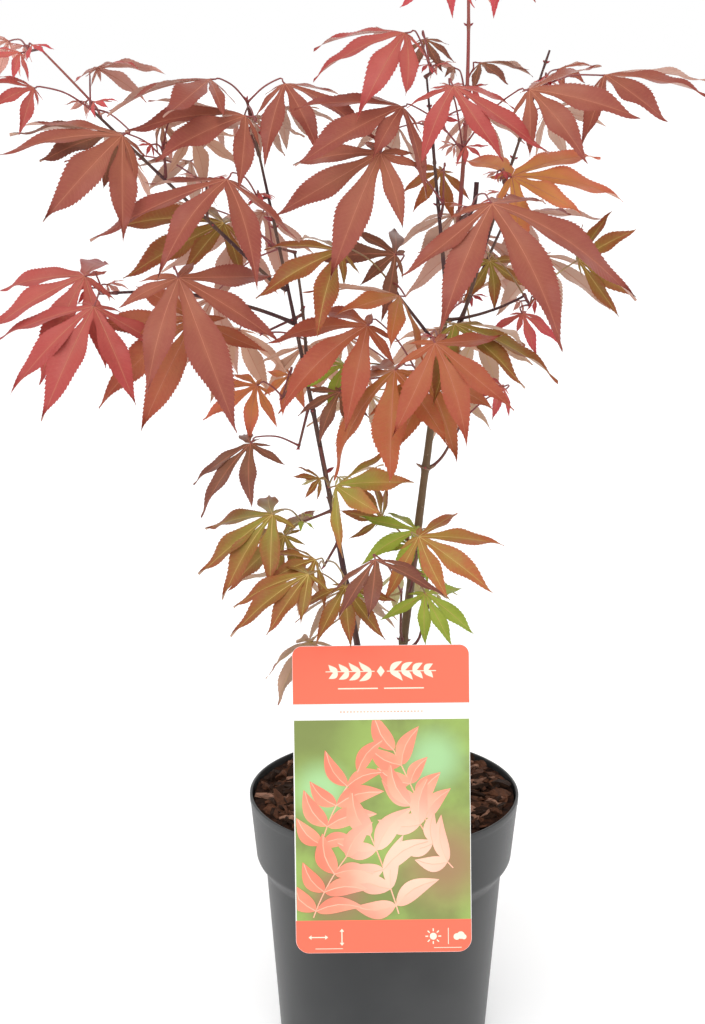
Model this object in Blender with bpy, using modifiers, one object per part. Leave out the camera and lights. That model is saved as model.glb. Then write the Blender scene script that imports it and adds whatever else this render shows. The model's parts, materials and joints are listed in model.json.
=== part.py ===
"""A young japanese maple in a round nursery pot, with a plain picture tag hooked over the rim.

The pot stands on its flat underside, which holds the origin, with +Z up and the tag towards -Y.
One stem rises from the soil and forks low down. Every limb leaves its parent at a wide angle and
turns to its own heading. Each mass of foliage is one twig with its leaf stalks and leaves fused.
Lengths are in millimetres and angles in degrees. A heading is measured in plan from +X towards
+Y, so 270 is the front. A rise is measured up from the horizontal, and a droop down from it.
"""

import math
import random
from collections import namedtuple

import bmesh
import bpy
from mathutils import Matrix, Vector
from mathutils.bvhtree import BVHTree

MM = 0.001
GAP = 0.3
SEED = 19

# Pot: a thin tapered shell with a tall collar, a rim bead and a ring of drain holes.
POT_HEIGHT = 195
RIM_RADIUS = 95
BEAD_HEIGHT = 5
BEAD_WIDTH = 2.6
BEAD_ROUNDING = 0.8
COLLAR_HEIGHT = 48
COLLAR_FOOT_RADIUS = 90.5
COLLAR_CHAMFER = 3
BODY_RADIUS = 84
FOOT_RADIUS = 74
WALL = 1.8
FLOOR = 3
DRAIN_HOLES = 8
DRAIN_RADIUS = 5
DRAIN_RING_RADIUS = 56
DRAIN_SIDES = 12
TURNED_STEPS = 40
MERGE_DISTANCE = 0.01

# Growing mix: it fills the pot to a little under the rim.
SOIL_LEVEL = 183

# Tag: a thin plate that leans back, with a hook over the rim behind it.
TAG_WIDTH = 115.5
TAG_HEIGHT = 203
TAG_THICKNESS = 1.0
TAG_TOP_CORNER = 6.5
TAG_FOOT_CORNER = 9
TAG_FOOT_HEIGHT = 127.2
TAG_LEAN = 11.9
TAG_TURN = 0.7
TAG_OFFSET = -1.6
TAG_CORNER_STEPS = 5
HOOK_WIDTH = 24
HOOK_THICKNESS = 1.2
HOOK_BRIDGE_HEIGHT = 4
HOOK_SETBACK = 1.8

# Limbs leave their parent at this angle and turn to their own heading over this length.
FORK_ANGLE = 50
CROOK_LENGTH = 12
CROOK_SHARES = (0.25, 0.55)
LIMB_STEP = 18
ROUTE_STEP = 3
ROUTE_STEPS_LEAST = 4
STOUT_RADIUS = 2  # from this radius on a limb is swept with more sides
NODE_SPACING = 62
NODE_SWELLING = 0.22
NODE_HALF_LENGTH = 4
FLARE_WIDTH = 1.5
FLARE_LENGTH = 9

# Leaves: five long lobes and two short ones at the stalk, joined near the middle.
LOBE_ANGLES = (0, 43, 84)
LOBE_LENGTHS = (1.0, 0.92, 0.70)
LOBE_HALF_WIDTH = 0.135
LOBE_WIDEST = 0.42
SINUS_REACH = 0.20
BASAL_ANGLE = 128
BASAL_REACH = 0.30
HEEL_REACH = 0.05
LEAF_THICKNESS = 0.016
LEAF_HUB_THICKNESS = 0.022
CURL = 0.16
HANG = 0.45
LIGHT_TILT = 45
LOBE_JITTER = 0.06
SINUS_FADE = 300
STALK_RADIUS = 0.75
STALK_NECK = 3
STALK_LOOP = 3.5  # how far it clears a blade that faces back to its twig
STALK_LOOP_ANGLE = 78  # between heel and foot, above which it loops
STALK_BOW = 0.08
TWIG_TAPER = 0.8
LEAF_NODE_STEP = 6
LEAF_NODE_SHARE = 0.3  # the most of its twig that a pair's step may take
LEAF_NODE_DEPTH = 1.2  # from the twig's tip to its first pair
PAIR_OFFSET = 0.5  # between the two stalks of a pair, along the twig

Limb = namedtuple("Limb", "name parent at heading rise length turn lift radius tip_radius tint")
Shoot = namedtuple("Shoot", "name limb at heading rise length radius tint leaves")
Leaf = namedtuple("Leaf", "heading rise stalk facing droop length tilt", defaults=(LIGHT_TILT,))

LIMBS = (
    Limb("trunk", None, (0, 0), 350, 83.5, 361, 0, 0, 3.7, 2.6, "olive_bark"),
    Limb("left_stem", "trunk", 0.10, 180, 81, 446, -12, -3.5, 2.5, 1.05, "purple_bark"),
    Limb("upper_stem", "trunk", 1.0, 185, 84, 142, 0, 0, 1.8, 1.1, "purple_bark"),
    Limb("leader", "trunk", 0.965, 15, 82.6, 208, -20, 9, 1.7, 1.0, "red_bark"),
    Limb("right_bough", "trunk", 0.925, 350, 74, 194, 10, -2, 1.8, 0.9, "purple_bark"),
    Limb("cut_stub", "leader", 0.37, 0, 72, 26, 0, 8, 1.9, 1.9, "purple_bark"),
    Limb("right_twig", "trunk", 0.965, 335, 10, 52, 20, 20, 1.1, 0.8, "purple_bark"),
    Limb("centre_twig", "trunk", 0.915, 190, 52, 42, 0, 0, 1.2, 0.9, "purple_bark"),
    Limb("left_high_bough", "left_stem", 0.74, 188, 44, 168, -10, 0, 1.3, 0.9, "purple_bark"),
    Limb("left_middle_bough", "left_stem", 0.69, 190, 24, 118, 10, -26, 1.3, 0.9, "purple_bark"),
    Limb("pink_shoot", "left_high_bough", 0.95, 165, 46, 58, 20, 0, 0.8, 0.7, "red_bark"),
    Limb("back_left_bough", "left_stem", 0.60, 93, 40, 115, 8, 0, 1.3, 0.9, "purple_bark"),
    Limb("back_right_bough", "trunk", 0.88, 60, 42, 130, 0, 0, 1.4, 0.9, "purple_bark"),
    Limb("back_low_bough", "trunk", 0.60, 80, 38, 85, 0, 0, 1.3, 0.9, "purple_bark"),
)

SHOOTS = (
    Shoot("foliage_left_top", "left_stem", 1.0, 215, 75, 9, 1.0, "red_leaf", (
        Leaf(225, 25, 34, 205, 20, 74, 30),
        Leaf(345, 25, 28, 320, 35, 61, 40),
        Leaf(270, -10, 31, 200, 10, 74, 12),
        Leaf(85, -25, 17, 350, 20, 39, 10),
    )),
    Shoot("foliage_left_upper", "left_stem", 0.88, 225, -10, 8, 1.0, "red_leaf", (
        Leaf(255, 15, 65, 230, 40, 88),
        Leaf(150, -30, 33, 185, 30, 76),
    )),
    Shoot("foliage_high_tip", "left_high_bough", 1.0, 280, 0, 14, 1.0, "red_leaf", (
        Leaf(190, 20, 37, 230, 20, 36),
        Leaf(90, 35, 42, 15, 10, 40, 15),
        Leaf(305, -20, 45, 215, 40, 76),
    )),
    Shoot("foliage_pink_tip", "pink_shoot", 1.0, 260, -5, 22, 1.0, "pink_leaf", (
        Leaf(240, -5, 8, 220, 15, 25),
        Leaf(120, 10, 38, 160, 20, 29),
    )),
    Shoot("foliage_high_middle", "left_high_bough", 0.62, 150, 75, 17, 1.0, "orange_leaf", (
        Leaf(95, 50, 23, 235, 60, 25),
        Leaf(55, 20, 30, 15, 35, 40),
        Leaf(155, 25, 39, 185, 0, 69, 10),
    )),
    Shoot("foliage_middle_tip", "left_middle_bough", 1.0, 160, -5, 11, 1.0, "red_leaf", (
        Leaf(270, -5, 37, 230, 55, 80),
        Leaf(215, 45, 17, 215, 15, 76),
    )),
    Shoot("foliage_middle_inner", "left_middle_bough", 0.62, 260, 15, 11, 1.0, "red_leaf", (
        Leaf(275, 15, 63, 315, 60, 99),
        Leaf(290, -20, 37, 210, 60, 78),
    )),
    Shoot("foliage_left_low_twig", "left_stem", 0.575, 200, -75, 27, 1.0, "brown_leaf", (
        Leaf(220, 10, 41, 250, 60, 50),
    )),
    Shoot("foliage_left_pale_twig", "left_stem", 0.62, 155, -50, 24, 1.0, "pink_leaf", (
        Leaf(180, 25, 19, 200, 35, 41),
        Leaf(65, 50, 17, 225, 75, 27),
    )),
    Shoot("foliage_left_base_twig", "left_stem", 0.4, 205, -15, 22, 1.0, "brown_leaf", (
        Leaf(245, 20, 46, 220, 40, 65),
        Leaf(225, -20, 18, 220, 40, 49),
    )),
    Shoot("foliage_low_front", "left_stem", 0.35, 250, -20, 27, 1.0, "olive_leaf", (
        Leaf(255, 25, 24, 220, 10, 39),
        Leaf(260, 10, 55, 215, 25, 62),
        Leaf(285, -5, 48, 270, 50, 46),
    )),
    Shoot("foliage_low_centre", "trunk", 0.34, 270, 70, 45, 1.0, "brown_leaf", (
        Leaf(250, 35, 65, 285, 40, 39),
        Leaf(195, -25, 69, 200, 55, 48),
    )),
    Shoot("foliage_low_right", "trunk", 0.44, 295, 75, 37, 1.0, "orange_leaf", (
        Leaf(270, 30, 35, 325, 30, 60),
        Leaf(275, 70, 16, 205, 20, 46),
    )),
    Shoot("foliage_low_right_green", "trunk", 0.32, 345, 75, 42, 1.0, "green_leaf", (
        Leaf(260, 25, 31, 315, 60, 44),
    )),
    Shoot("foliage_stem_middle", "left_stem", 0.515, 300, -65, 25, 1.0, "olive_leaf", (
        Leaf(285, 10, 21, 330, -10, 58),
        Leaf(225, 30, 9, 215, -5, 19),
    )),
    Shoot("foliage_stem_lower_middle", "trunk", 0.47, 280, 80, 30, 1.0, "olive_leaf", (
        Leaf(130, 20, 29, 200, -30, 33),
    )),
    Shoot("foliage_centre_tip", "centre_twig", 1.0, 210, 60, 10, 1.0, "brown_leaf", (
        Leaf(335, 80, 18, 220, 0, 54),
        Leaf(280, -10, 29, 215, 10, 62),
        Leaf(220, 30, 51, 210, 20, 65),
    )),
    Shoot("foliage_centre_low", "trunk", 0.82, 240, 40, 24, 1.0, "orange_leaf", (
        Leaf(220, 40, 59, 210, 35, 75),
        Leaf(245, 15, 43, 210, 55, 79),
        Leaf(170, 10, 53, 200, 25, 35),
        Leaf(190, -5, 56, 230, 55, 34),
    )),
    Shoot("foliage_centre_front", "trunk", 0.9, 265, 30, 17, 1.0, "red_leaf", (
        Leaf(265, 10, 68, 300, 60, 69),
        Leaf(285, 30, 36, 335, 25, 74),
        Leaf(250, -25, 31, 330, 65, 59),
    )),
    Shoot("foliage_right_tip", "right_twig", 1.0, 70, -30, 17, 1.0, "pink_leaf", (
        Leaf(215, -40, 8, 300, 70, 33),
        Leaf(15, 40, 44, 345, -10, 41),
        Leaf(125, 30, 46, 305, 75, 34),
    )),
    Shoot("foliage_red_side_twig", "trunk", 0.68, 10, 60, 42, 1.0, "pink_leaf", (
        Leaf(0, 40, 32, 205, 20, 26),
    )),
    Shoot("foliage_upper_right_node", "upper_stem", 0.38, 255, 80, 11, 1.0, "red_leaf", (
        Leaf(225, 30, 67, 230, 60, 86),
        Leaf(90, 35, 33, 205, 60, 32),
    )),
    Shoot("foliage_upper_stem_tip", "upper_stem", 1.0, 15, 35, 5, 1.0, "red_leaf", (
        Leaf(225, 45, 34, 210, 20, 71, 20),
        Leaf(100, 50, 27, 310, 60, 25),
    )),
    Shoot("foliage_leader_low", "leader", 0.29, 280, 20, 29, 1.0, "red_leaf", (
        Leaf(280, 10, 59, 310, 50, 104),
    )),
    Shoot("foliage_leader_node", "leader", 0.545, 260, -15, 15, 1.0, "brown_leaf", (
        Leaf(215, 30, 55, 225, 20, 70),
        Leaf(315, 35, 66, 335, 10, 69, 25),
        Leaf(260, 35, 68, 310, 40, 63),
    )),
    Shoot("foliage_leader_back", "leader", 0.72, 110, -45, 5, 1.0, "brown_leaf", (
        Leaf(45, 50, 24, 345, 10, 35, 10),
        Leaf(105, 35, 26, 165, -20, 22, 10),
    )),
    Shoot("foliage_leader_tip", "leader", 1.0, 260, 30, 15, 1.0, "pink_leaf", (
        Leaf(225, 10, 25, 235, 40, 42),
        Leaf(350, 15, 22, 310, 40, 36),
        Leaf(80, 30, 27, 110, 55, 37),
    )),
    Shoot("foliage_right_bough_low", "right_bough", 0.55, 260, 60, 5, 1.0, "orange_leaf", (
        Leaf(295, 5, 11, 0, 10, 76),
    )),
    Shoot("foliage_right_bough_high", "right_bough", 0.85, 45, 35, 10, 1.0, "brown_leaf", (
        Leaf(0, 10, 39, 340, 10, 71, 8),
        Leaf(65, 20, 31, 350, -5, 26, 20),
    )),
    Shoot("foliage_back_left_tip", "back_left_bough", 1.0, 180, 15, 18, 1.0, "red_leaf", (
        Leaf(130, 10, 42, 155, 35, 69),
        Leaf(110, 45, 31, 130, 60, 61),
        Leaf(175, 25, 71, 150, 15, 48),
        Leaf(155, -35, 66, 150, 65, 68),
    )),
    Shoot("foliage_back_left_middle", "back_left_bough", 0.5, 180, -25, 30, 1.0, "orange_leaf", (
        Leaf(140, 0, 23, 135, 60, 57),
        Leaf(20, -20, 32, 100, 65, 49),
    )),
    Shoot("foliage_back_high", "left_high_bough", 0.4, 95, 30, 40, 1.0, "brown_leaf", (
        Leaf(115, 25, 33, 135, 25, 47),
        Leaf(150, 15, 64, 150, 25, 47),
    )),
    Shoot("foliage_back_left_top", "left_stem", 0.94, 105, 25, 34, 1.0, "red_leaf", (
        Leaf(130, 15, 42, 145, 10, 46),
        Leaf(45, 25, 36, 50, 35, 39),
    )),
    Shoot("foliage_back_right_tip", "back_right_bough", 1.0, 90, 40, 17, 1.0, "red_leaf", (
        Leaf(60, -20, 33, 30, 30, 64),
        Leaf(115, -35, 48, 120, 65, 68),
        Leaf(30, -50, 47, 60, 60, 62),
        Leaf(165, -10, 37, 130, 50, 50),
    )),
    Shoot("foliage_back_right_middle", "back_right_bough", 0.5, 105, -30, 22, 1.0, "olive_leaf", (
        Leaf(65, -55, 33, 45, 55, 49),
        Leaf(125, -40, 37, 125, 65, 54),
    )),
    Shoot("foliage_back_upper", "upper_stem", 0.62, 90, 30, 40, 1.0, "brown_leaf", (
        Leaf(125, 0, 38, 135, 20, 45),
        Leaf(45, 15, 39, 50, 40, 43),
    )),
    Shoot("foliage_back_right_high", "right_bough", 0.7, 75, 15, 43, 1.0, "brown_leaf", (
        Leaf(65, 10, 36, 35, 15, 46),
    )),
    Shoot("foliage_back_low_tip", "back_low_bough", 1.0, 125, 15, 17, 1.0, "olive_leaf", (
        Leaf(145, 0, 45, 135, 55, 52),
        Leaf(15, 15, 22, 55, 65, 43),
        Leaf(155, 35, 77, 130, 60, 50),
    )),
    Shoot("foliage_back_base_left", "left_stem", 0.28, 90, -25, 34, 1.0, "olive_leaf", (
        Leaf(140, 10, 43, 140, 35, 48),
        Leaf(90, -15, 44, 80, 60, 54),
    )),
    Shoot("foliage_back_base_right", "trunk", 0.36, 75, 55, 38, 1.0, "green_leaf", (
        Leaf(105, -5, 28, 50, 45, 47),
    )),
)

MATERIALS = {
    "pot_plastic": ((0.075, 0.080, 0.082), 0.45),
    "growing_mix": ((0.035, 0.018, 0.012), 0.95),
    "tag_plastic": ((0.95, 0.30, 0.22), 0.4),
    "olive_bark": ((0.16, 0.11, 0.07), 0.8),
    "purple_bark": ((0.09, 0.04, 0.045), 0.75),
    "red_bark": ((0.42, 0.10, 0.10), 0.7),
    "red_leaf": ((0.45, 0.09, 0.06), 0.6),
    "orange_leaf": ((0.50, 0.16, 0.04), 0.6),
    "brown_leaf": ((0.30, 0.09, 0.05), 0.6),
    "olive_leaf": ((0.28, 0.17, 0.04), 0.6),
    "green_leaf": ((0.32, 0.42, 0.06), 0.6),
    "pink_leaf": ((0.70, 0.16, 0.15), 0.6),
}


def clear_scene():
    """Remove every object that the scene starts with."""
    for scene_object in list(bpy.data.objects):
        bpy.data.objects.remove(scene_object, do_unlink=True)


def new_collection(name):
    """Return a new collection linked to the scene."""
    collection = bpy.data.collections.new(name)
    bpy.context.scene.collection.children.link(collection)
    return collection


def build_materials():
    """Return the materials by name."""
    materials = {}
    for name, (colour, roughness) in MATERIALS.items():
        material = bpy.data.materials.new(name)
        material.use_nodes = True
        shader = material.node_tree.nodes["Principled BSDF"]
        shader.inputs["Base Color"].default_value = (*colour, 1)
        shader.inputs["Roughness"].default_value = roughness
        material.diffuse_color = (*colour, 1)
        materials[name] = material
    return materials


def direction(heading, rise):
    """Return the unit vector with this heading and rise."""
    level = math.cos(math.radians(rise))
    heading = math.radians(heading)
    return Vector((level * math.cos(heading), level * math.sin(heading), math.sin(math.radians(rise))))


# Pot, growing mix and tag


def turned_object(name, profile, material, collection):
    """Turn a profile of (radius, height) points about the Z axis into a closed solid."""
    mesh = bpy.data.meshes.new(name)
    vertices = [(radius * MM, 0, height * MM) for radius, height in profile]
    edges = [(index, index + 1) for index in range(len(profile) - 1)]
    mesh.from_pydata(vertices, edges, [])
    turned = bpy.data.objects.new(name, mesh)
    collection.objects.link(turned)
    screw = turned.modifiers.new("turn", "SCREW")
    screw.steps = TURNED_STEPS
    screw.render_steps = TURNED_STEPS
    screw.use_merge_vertices = True
    screw.merge_threshold = MERGE_DISTANCE * MM
    screw.use_smooth_shade = True
    mesh.materials.append(material)
    return turned


def pot_profile():
    """Run from the floor's centre up the inside, over the bead, and down the outside."""
    collar_foot = POT_HEIGHT - COLLAR_HEIGHT
    body_top = collar_foot - COLLAR_CHAMFER
    bead_foot = POT_HEIGHT - BEAD_HEIGHT
    return (
        (0, FLOOR),
        (FOOT_RADIUS - WALL, FLOOR),
        (BODY_RADIUS - WALL, body_top),
        (COLLAR_FOOT_RADIUS - WALL, collar_foot + WALL),
        (RIM_RADIUS - BEAD_WIDTH, POT_HEIGHT - BEAD_ROUNDING),
        (RIM_RADIUS - BEAD_WIDTH + BEAD_ROUNDING, POT_HEIGHT),
        (RIM_RADIUS - BEAD_ROUNDING, POT_HEIGHT),
        (RIM_RADIUS, POT_HEIGHT - BEAD_ROUNDING),
        (RIM_RADIUS, bead_foot),
        (RIM_RADIUS - BEAD_ROUNDING, bead_foot - BEAD_ROUNDING),
        (COLLAR_FOOT_RADIUS, collar_foot),
        (COLLAR_FOOT_RADIUS - COLLAR_CHAMFER, body_top),
        (BODY_RADIUS, body_top - BEAD_ROUNDING),
        (FOOT_RADIUS, BEAD_ROUNDING),
        (FOOT_RADIUS - BEAD_ROUNDING, 0),
        (0, 0),
    )


def build_pot(materials, parts, cutters):
    """Build the pot's shell and cut its drain holes."""
    pot = turned_object("pot", pot_profile(), materials["pot_plastic"], parts)
    for index in range(DRAIN_HOLES):
        angle = 2 * math.pi * (index + 0.5) / DRAIN_HOLES
        place = Vector((math.cos(angle), math.sin(angle), 0)) * DRAIN_RING_RADIUS * MM
        bpy.ops.mesh.primitive_cylinder_add(
            vertices=DRAIN_SIDES, radius=DRAIN_RADIUS * MM, depth=4 * FLOOR * MM, location=place
        )
        cutter = bpy.context.object
        cutter.name = f"drain_cutter_{index}"
        cutter.display_type = "WIRE"
        cutter.hide_render = True
        bpy.context.collection.objects.unlink(cutter)
        cutters.objects.link(cutter)
    holes = pot.modifiers.new("drain_holes", "BOOLEAN")
    holes.operation = "DIFFERENCE"
    holes.operand_type = "COLLECTION"
    holes.collection = cutters


def build_soil(materials, parts):
    """Build the growing mix, clear of the pot's inside by the gap."""
    collar_foot = POT_HEIGHT - COLLAR_HEIGHT
    body_top = collar_foot - COLLAR_CHAMFER
    collar_slope = (RIM_RADIUS - BEAD_WIDTH - COLLAR_FOOT_RADIUS + WALL) / (COLLAR_HEIGHT - WALL)
    top_radius = COLLAR_FOOT_RADIUS - WALL + collar_slope * (SOIL_LEVEL - collar_foot - WALL)
    clearance = 2 * GAP
    profile = (
        (0, SOIL_LEVEL),
        (top_radius - clearance, SOIL_LEVEL),
        (COLLAR_FOOT_RADIUS - WALL - clearance, collar_foot + WALL),
        (BODY_RADIUS - WALL - clearance, body_top),
        (FOOT_RADIUS - WALL - clearance, FLOOR + GAP),
        (0, FLOOR + GAP),
    )
    turned_object("soil", profile, materials["growing_mix"], parts)


def flat_outline(name, points, thickness, collection):
    """Return a filled flat curve of this thickness, with its outline in the curve's XY plane."""
    curve = bpy.data.curves.new(name, "CURVE")
    curve.dimensions = "2D"
    curve.fill_mode = "BOTH"
    curve.extrude = thickness / 2 * MM
    spline = curve.splines.new("POLY")
    spline.points.add(len(points) - 1)
    for point, (x, y) in zip(spline.points, points):
        point.co = (x * MM, y * MM, 0, 1)
    spline.use_cyclic_u = True
    outline = bpy.data.objects.new(name, curve)
    collection.objects.link(outline)
    return outline


def to_mesh_object(source, name, collection):
    """Replace a curve object by a closed mesh object in the same place."""
    bpy.context.view_layer.update()
    depsgraph = bpy.context.evaluated_depsgraph_get()
    mesh = bpy.data.meshes.new_from_object(source.evaluated_get(depsgraph))
    shape = bmesh.new()
    shape.from_mesh(mesh)
    bmesh.ops.remove_doubles(shape, verts=shape.verts, dist=0.000001)
    bmesh.ops.recalc_face_normals(shape, faces=shape.faces)
    shape.to_mesh(mesh)
    shape.free()
    place = source.matrix_world.copy()
    bpy.data.objects.remove(source, do_unlink=True)
    mesh_object = bpy.data.objects.new(name, mesh)
    mesh_object.matrix_world = place
    collection.objects.link(mesh_object)
    return mesh_object


def corner(centre_x, centre_y, radius, start):
    """Return the points of a quarter arc from this angle on."""
    points = []
    for step in range(TAG_CORNER_STEPS + 1):
        angle = math.radians(start + 90 * step / TAG_CORNER_STEPS)
        points.append((centre_x + radius * math.cos(angle), centre_y + radius * math.sin(angle)))
    return points


def tag_outline():
    """Return the plate's outline, with its origin at the middle of the lower edge."""
    half = TAG_WIDTH / 2
    low = TAG_FOOT_CORNER
    high = TAG_HEIGHT - TAG_TOP_CORNER
    return (
        corner(half - low, low, low, 270)
        + corner(half - TAG_TOP_CORNER, high, TAG_TOP_CORNER, 0)
        + corner(TAG_TOP_CORNER - half, high, TAG_TOP_CORNER, 90)
        + corner(low - half, low, low, 180)
    )


def build_tag(materials, parts):
    """Build the tag's plate and fuse on the hook that hangs it on the rim."""
    lean = math.radians(TAG_LEAN)
    rim_height_on_plate = POT_HEIGHT - TAG_FOOT_HEIGHT
    plate_half_depth = TAG_THICKNESS / 2 / math.cos(lean)
    plate_front = -RIM_RADIUS - GAP - plate_half_depth
    foot_y = plate_front - rim_height_on_plate * math.tan(lean)
    plate = flat_outline("tag_plate", tag_outline(), TAG_THICKNESS, parts)
    plate.matrix_world = (
        Matrix.Translation(Vector((TAG_OFFSET, foot_y, TAG_FOOT_HEIGHT)) * MM)
        @ Matrix.Rotation(-lean, 4, "X")
        @ Matrix.Rotation(-math.radians(TAG_TURN), 4, "Y")
        @ Matrix.Rotation(math.radians(90), 4, "X")
    )
    tag = to_mesh_object(plate, "tag", parts)

    bridge = POT_HEIGHT + HOOK_BRIDGE_HEIGHT
    bridge_front = plate_front + HOOK_BRIDGE_HEIGHT * math.tan(lean)
    leg_outer = BEAD_WIDTH + HOOK_SETBACK - RIM_RADIUS
    leg_inner = leg_outer + HOOK_THICKNESS
    foot = SOIL_LEVEL + GAP
    hook = flat_outline(
        "tag_hook",
        (
            (bridge_front, bridge),
            (leg_outer, bridge),
            (leg_outer, foot),
            (leg_inner, foot),
            (leg_inner, bridge + HOOK_THICKNESS),
            (bridge_front, bridge + HOOK_THICKNESS),
        ),
        HOOK_WIDTH,
        parts,
    )
    hook.matrix_world = Matrix.Rotation(math.radians(90), 4, "Z") @ Matrix.Rotation(math.radians(90), 4, "X")
    hook = to_mesh_object(hook, "tag_hook", parts)
    fuse(tag, [hook], "EXACT")
    tag.data.materials.clear()
    tag.data.materials.append(materials["tag_plastic"])


# Limbs


def tilted_from(axis, wanted):
    """Return the wanted direction, tilted off the axis as far as the fork angle."""
    fork = math.radians(FORK_ANGLE)
    if axis.angle(wanted) >= fork:
        return wanted.copy()
    across = (wanted - axis * wanted.dot(axis)).normalized()
    return axis * math.cos(fork) + across * math.sin(fork)


def grow_route(root, first, heading, rise, length, turn, lift):
    """Return the points of a limb that starts along one direction and turns to its own."""
    points = [root.copy()]
    count = max(ROUTE_STEPS_LEAST, round(length / ROUTE_STEP))
    step = length / count
    for index in range(count):
        along = index / count
        own = direction(heading + turn * along, rise + lift * along)
        settled = min(1, along * length / CROOK_LENGTH)
        points.append(points[-1] + (first * (1 - settled) + own * settled).normalized() * step)
    return points


def on_route(route, along):
    """Return the point at this share of a route, and the route's direction there."""
    place = along * (len(route) - 1)
    index = min(int(place), len(route) - 2)
    step = route[index + 1] - route[index]
    return route[index] + step * (place - index), step.normalized()


def limb_radius(limb, along):
    """Return a limb's radius: an even taper, swollen at its nodes and flared at the ground."""
    radius = limb.radius + (limb.tip_radius - limb.radius) * along
    run = along * limb.length
    past_node = run % NODE_SPACING
    to_node = min(past_node, NODE_SPACING - past_node)
    if NODE_SPACING / 2 < run < limb.length - NODE_HALF_LENGTH:
        radius *= 1 + NODE_SWELLING * max(0, 1 - to_node / NODE_HALF_LENGTH)
    if limb.parent is None:
        radius *= 1 + FLARE_WIDTH * math.exp(-run / FLARE_LENGTH)
    return radius


def branch_root(parent, route, along, radius, heading, rise):
    """Return where a branch starts, a gap clear of its parent, and its first direction."""
    place, axis = on_route(route, along)
    own = direction(heading, rise)
    if along == 1:
        lift = GAP + radius * math.sin(axis.angle(own))
        return place + axis * lift, own
    first = tilted_from(axis, own)
    spread = first.angle(axis)
    clear = limb_radius(parent, along) + GAP + radius * abs(math.cos(spread))
    return place + first * (clear / math.sin(spread)), first


def tube_object(name, points, radii, sides_level, collection):
    """Return a curve object that sweeps a round section through the points, capped at its ends."""
    curve = bpy.data.curves.new(name, "CURVE")
    curve.dimensions = "3D"
    curve.bevel_depth = MM
    curve.bevel_resolution = sides_level
    curve.use_fill_caps = True
    spline = curve.splines.new("POLY")
    spline.points.add(len(points) - 1)
    for point, place, radius in zip(spline.points, points, radii):
        point.co = (*((place - points[0]) * MM), 1)
        point.radius = radius
    tube = bpy.data.objects.new(name, curve)
    tube.location = points[0] * MM
    collection.objects.link(tube)
    return tube


def crook_stations(length):
    """Return the shares of a branch's length that its crook and then even steps are set at."""
    stations = {0.0, 1.0}
    stations |= {CROOK_LENGTH * share / length for share in CROOK_SHARES}
    count = max(1, round((length - CROOK_LENGTH) / LIMB_STEP))
    stations |= {(CROOK_LENGTH + (length - CROOK_LENGTH) * index / count) / length for index in range(count)}
    return sorted(station for station in stations if station <= 1)


def limb_stations(limb):
    """Return a limb's stations, with those of its nodes and flare."""
    stations = set(crook_stations(limb.length))
    run = NODE_SPACING
    while run < limb.length - 2 * NODE_HALF_LENGTH:
        stations -= {value for value in stations if abs(value * limb.length - run) < LIMB_STEP / 2}
        for offset in (-NODE_HALF_LENGTH, 0, NODE_HALF_LENGTH):
            stations.add((run + offset) / limb.length)
        run += NODE_SPACING
    return sorted(stations)


def limb_routes():
    """Return the route of every limb by name."""
    by_name = {limb.name: limb for limb in LIMBS}
    routes = {}
    for limb in LIMBS:
        if limb.parent is None:
            root = Vector((*limb.at, SOIL_LEVEL + GAP))
            first = Vector((0, 0, 1))
        else:
            root, first = branch_root(
                by_name[limb.parent], routes[limb.parent], limb.at, limb.radius, limb.heading, limb.rise
            )
        routes[limb.name] = grow_route(
            root, first, limb.heading, limb.rise, limb.length, limb.turn, limb.lift
        )
    return routes


def build_limbs(routes, materials, parts):
    """Build the trunk, stems and boughs."""
    for limb in LIMBS:
        stations = limb_stations(limb)
        points = [on_route(routes[limb.name], along)[0] for along in stations]
        radii = [limb_radius(limb, along) for along in stations]
        tube = tube_object(limb.name, points, radii, 2 if limb.radius > STOUT_RADIUS else 1, parts)
        tube.data.materials.append(materials[limb.tint])


# Foliage


def lobe_point(along, across, angle, drop):
    """Return a point of a lobe that leaves the leaf's hub at this angle."""
    turn = math.radians(angle)
    return Vector(
        (
            along * math.cos(turn) - across * math.sin(turn),
            along * math.sin(turn) + across * math.cos(turn),
            -drop,
        )
    )


def lobe_drop(along, length, angle):
    """Return how far a lobe has sunk under the leaf's plane this far along it."""
    return CURL * along * along / length + HANG * (1 - math.cos(math.radians(angle))) * along


def leaf_lobes(length, rng):
    """Return the turn and reach of a leaf's five long lobes, from right to left."""
    lobes = []
    for angle, share in zip(LOBE_ANGLES, LOBE_LENGTHS):
        for side in ((0,) if angle == 0 else (-1, 1)):
            turned = angle * side * (1 + rng.uniform(-LOBE_JITTER, LOBE_JITTER))
            reach = length * share * (1 + rng.uniform(-LOBE_JITTER, LOBE_JITTER))
            lobes.append((turned, reach))
    return sorted(lobes)


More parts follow.
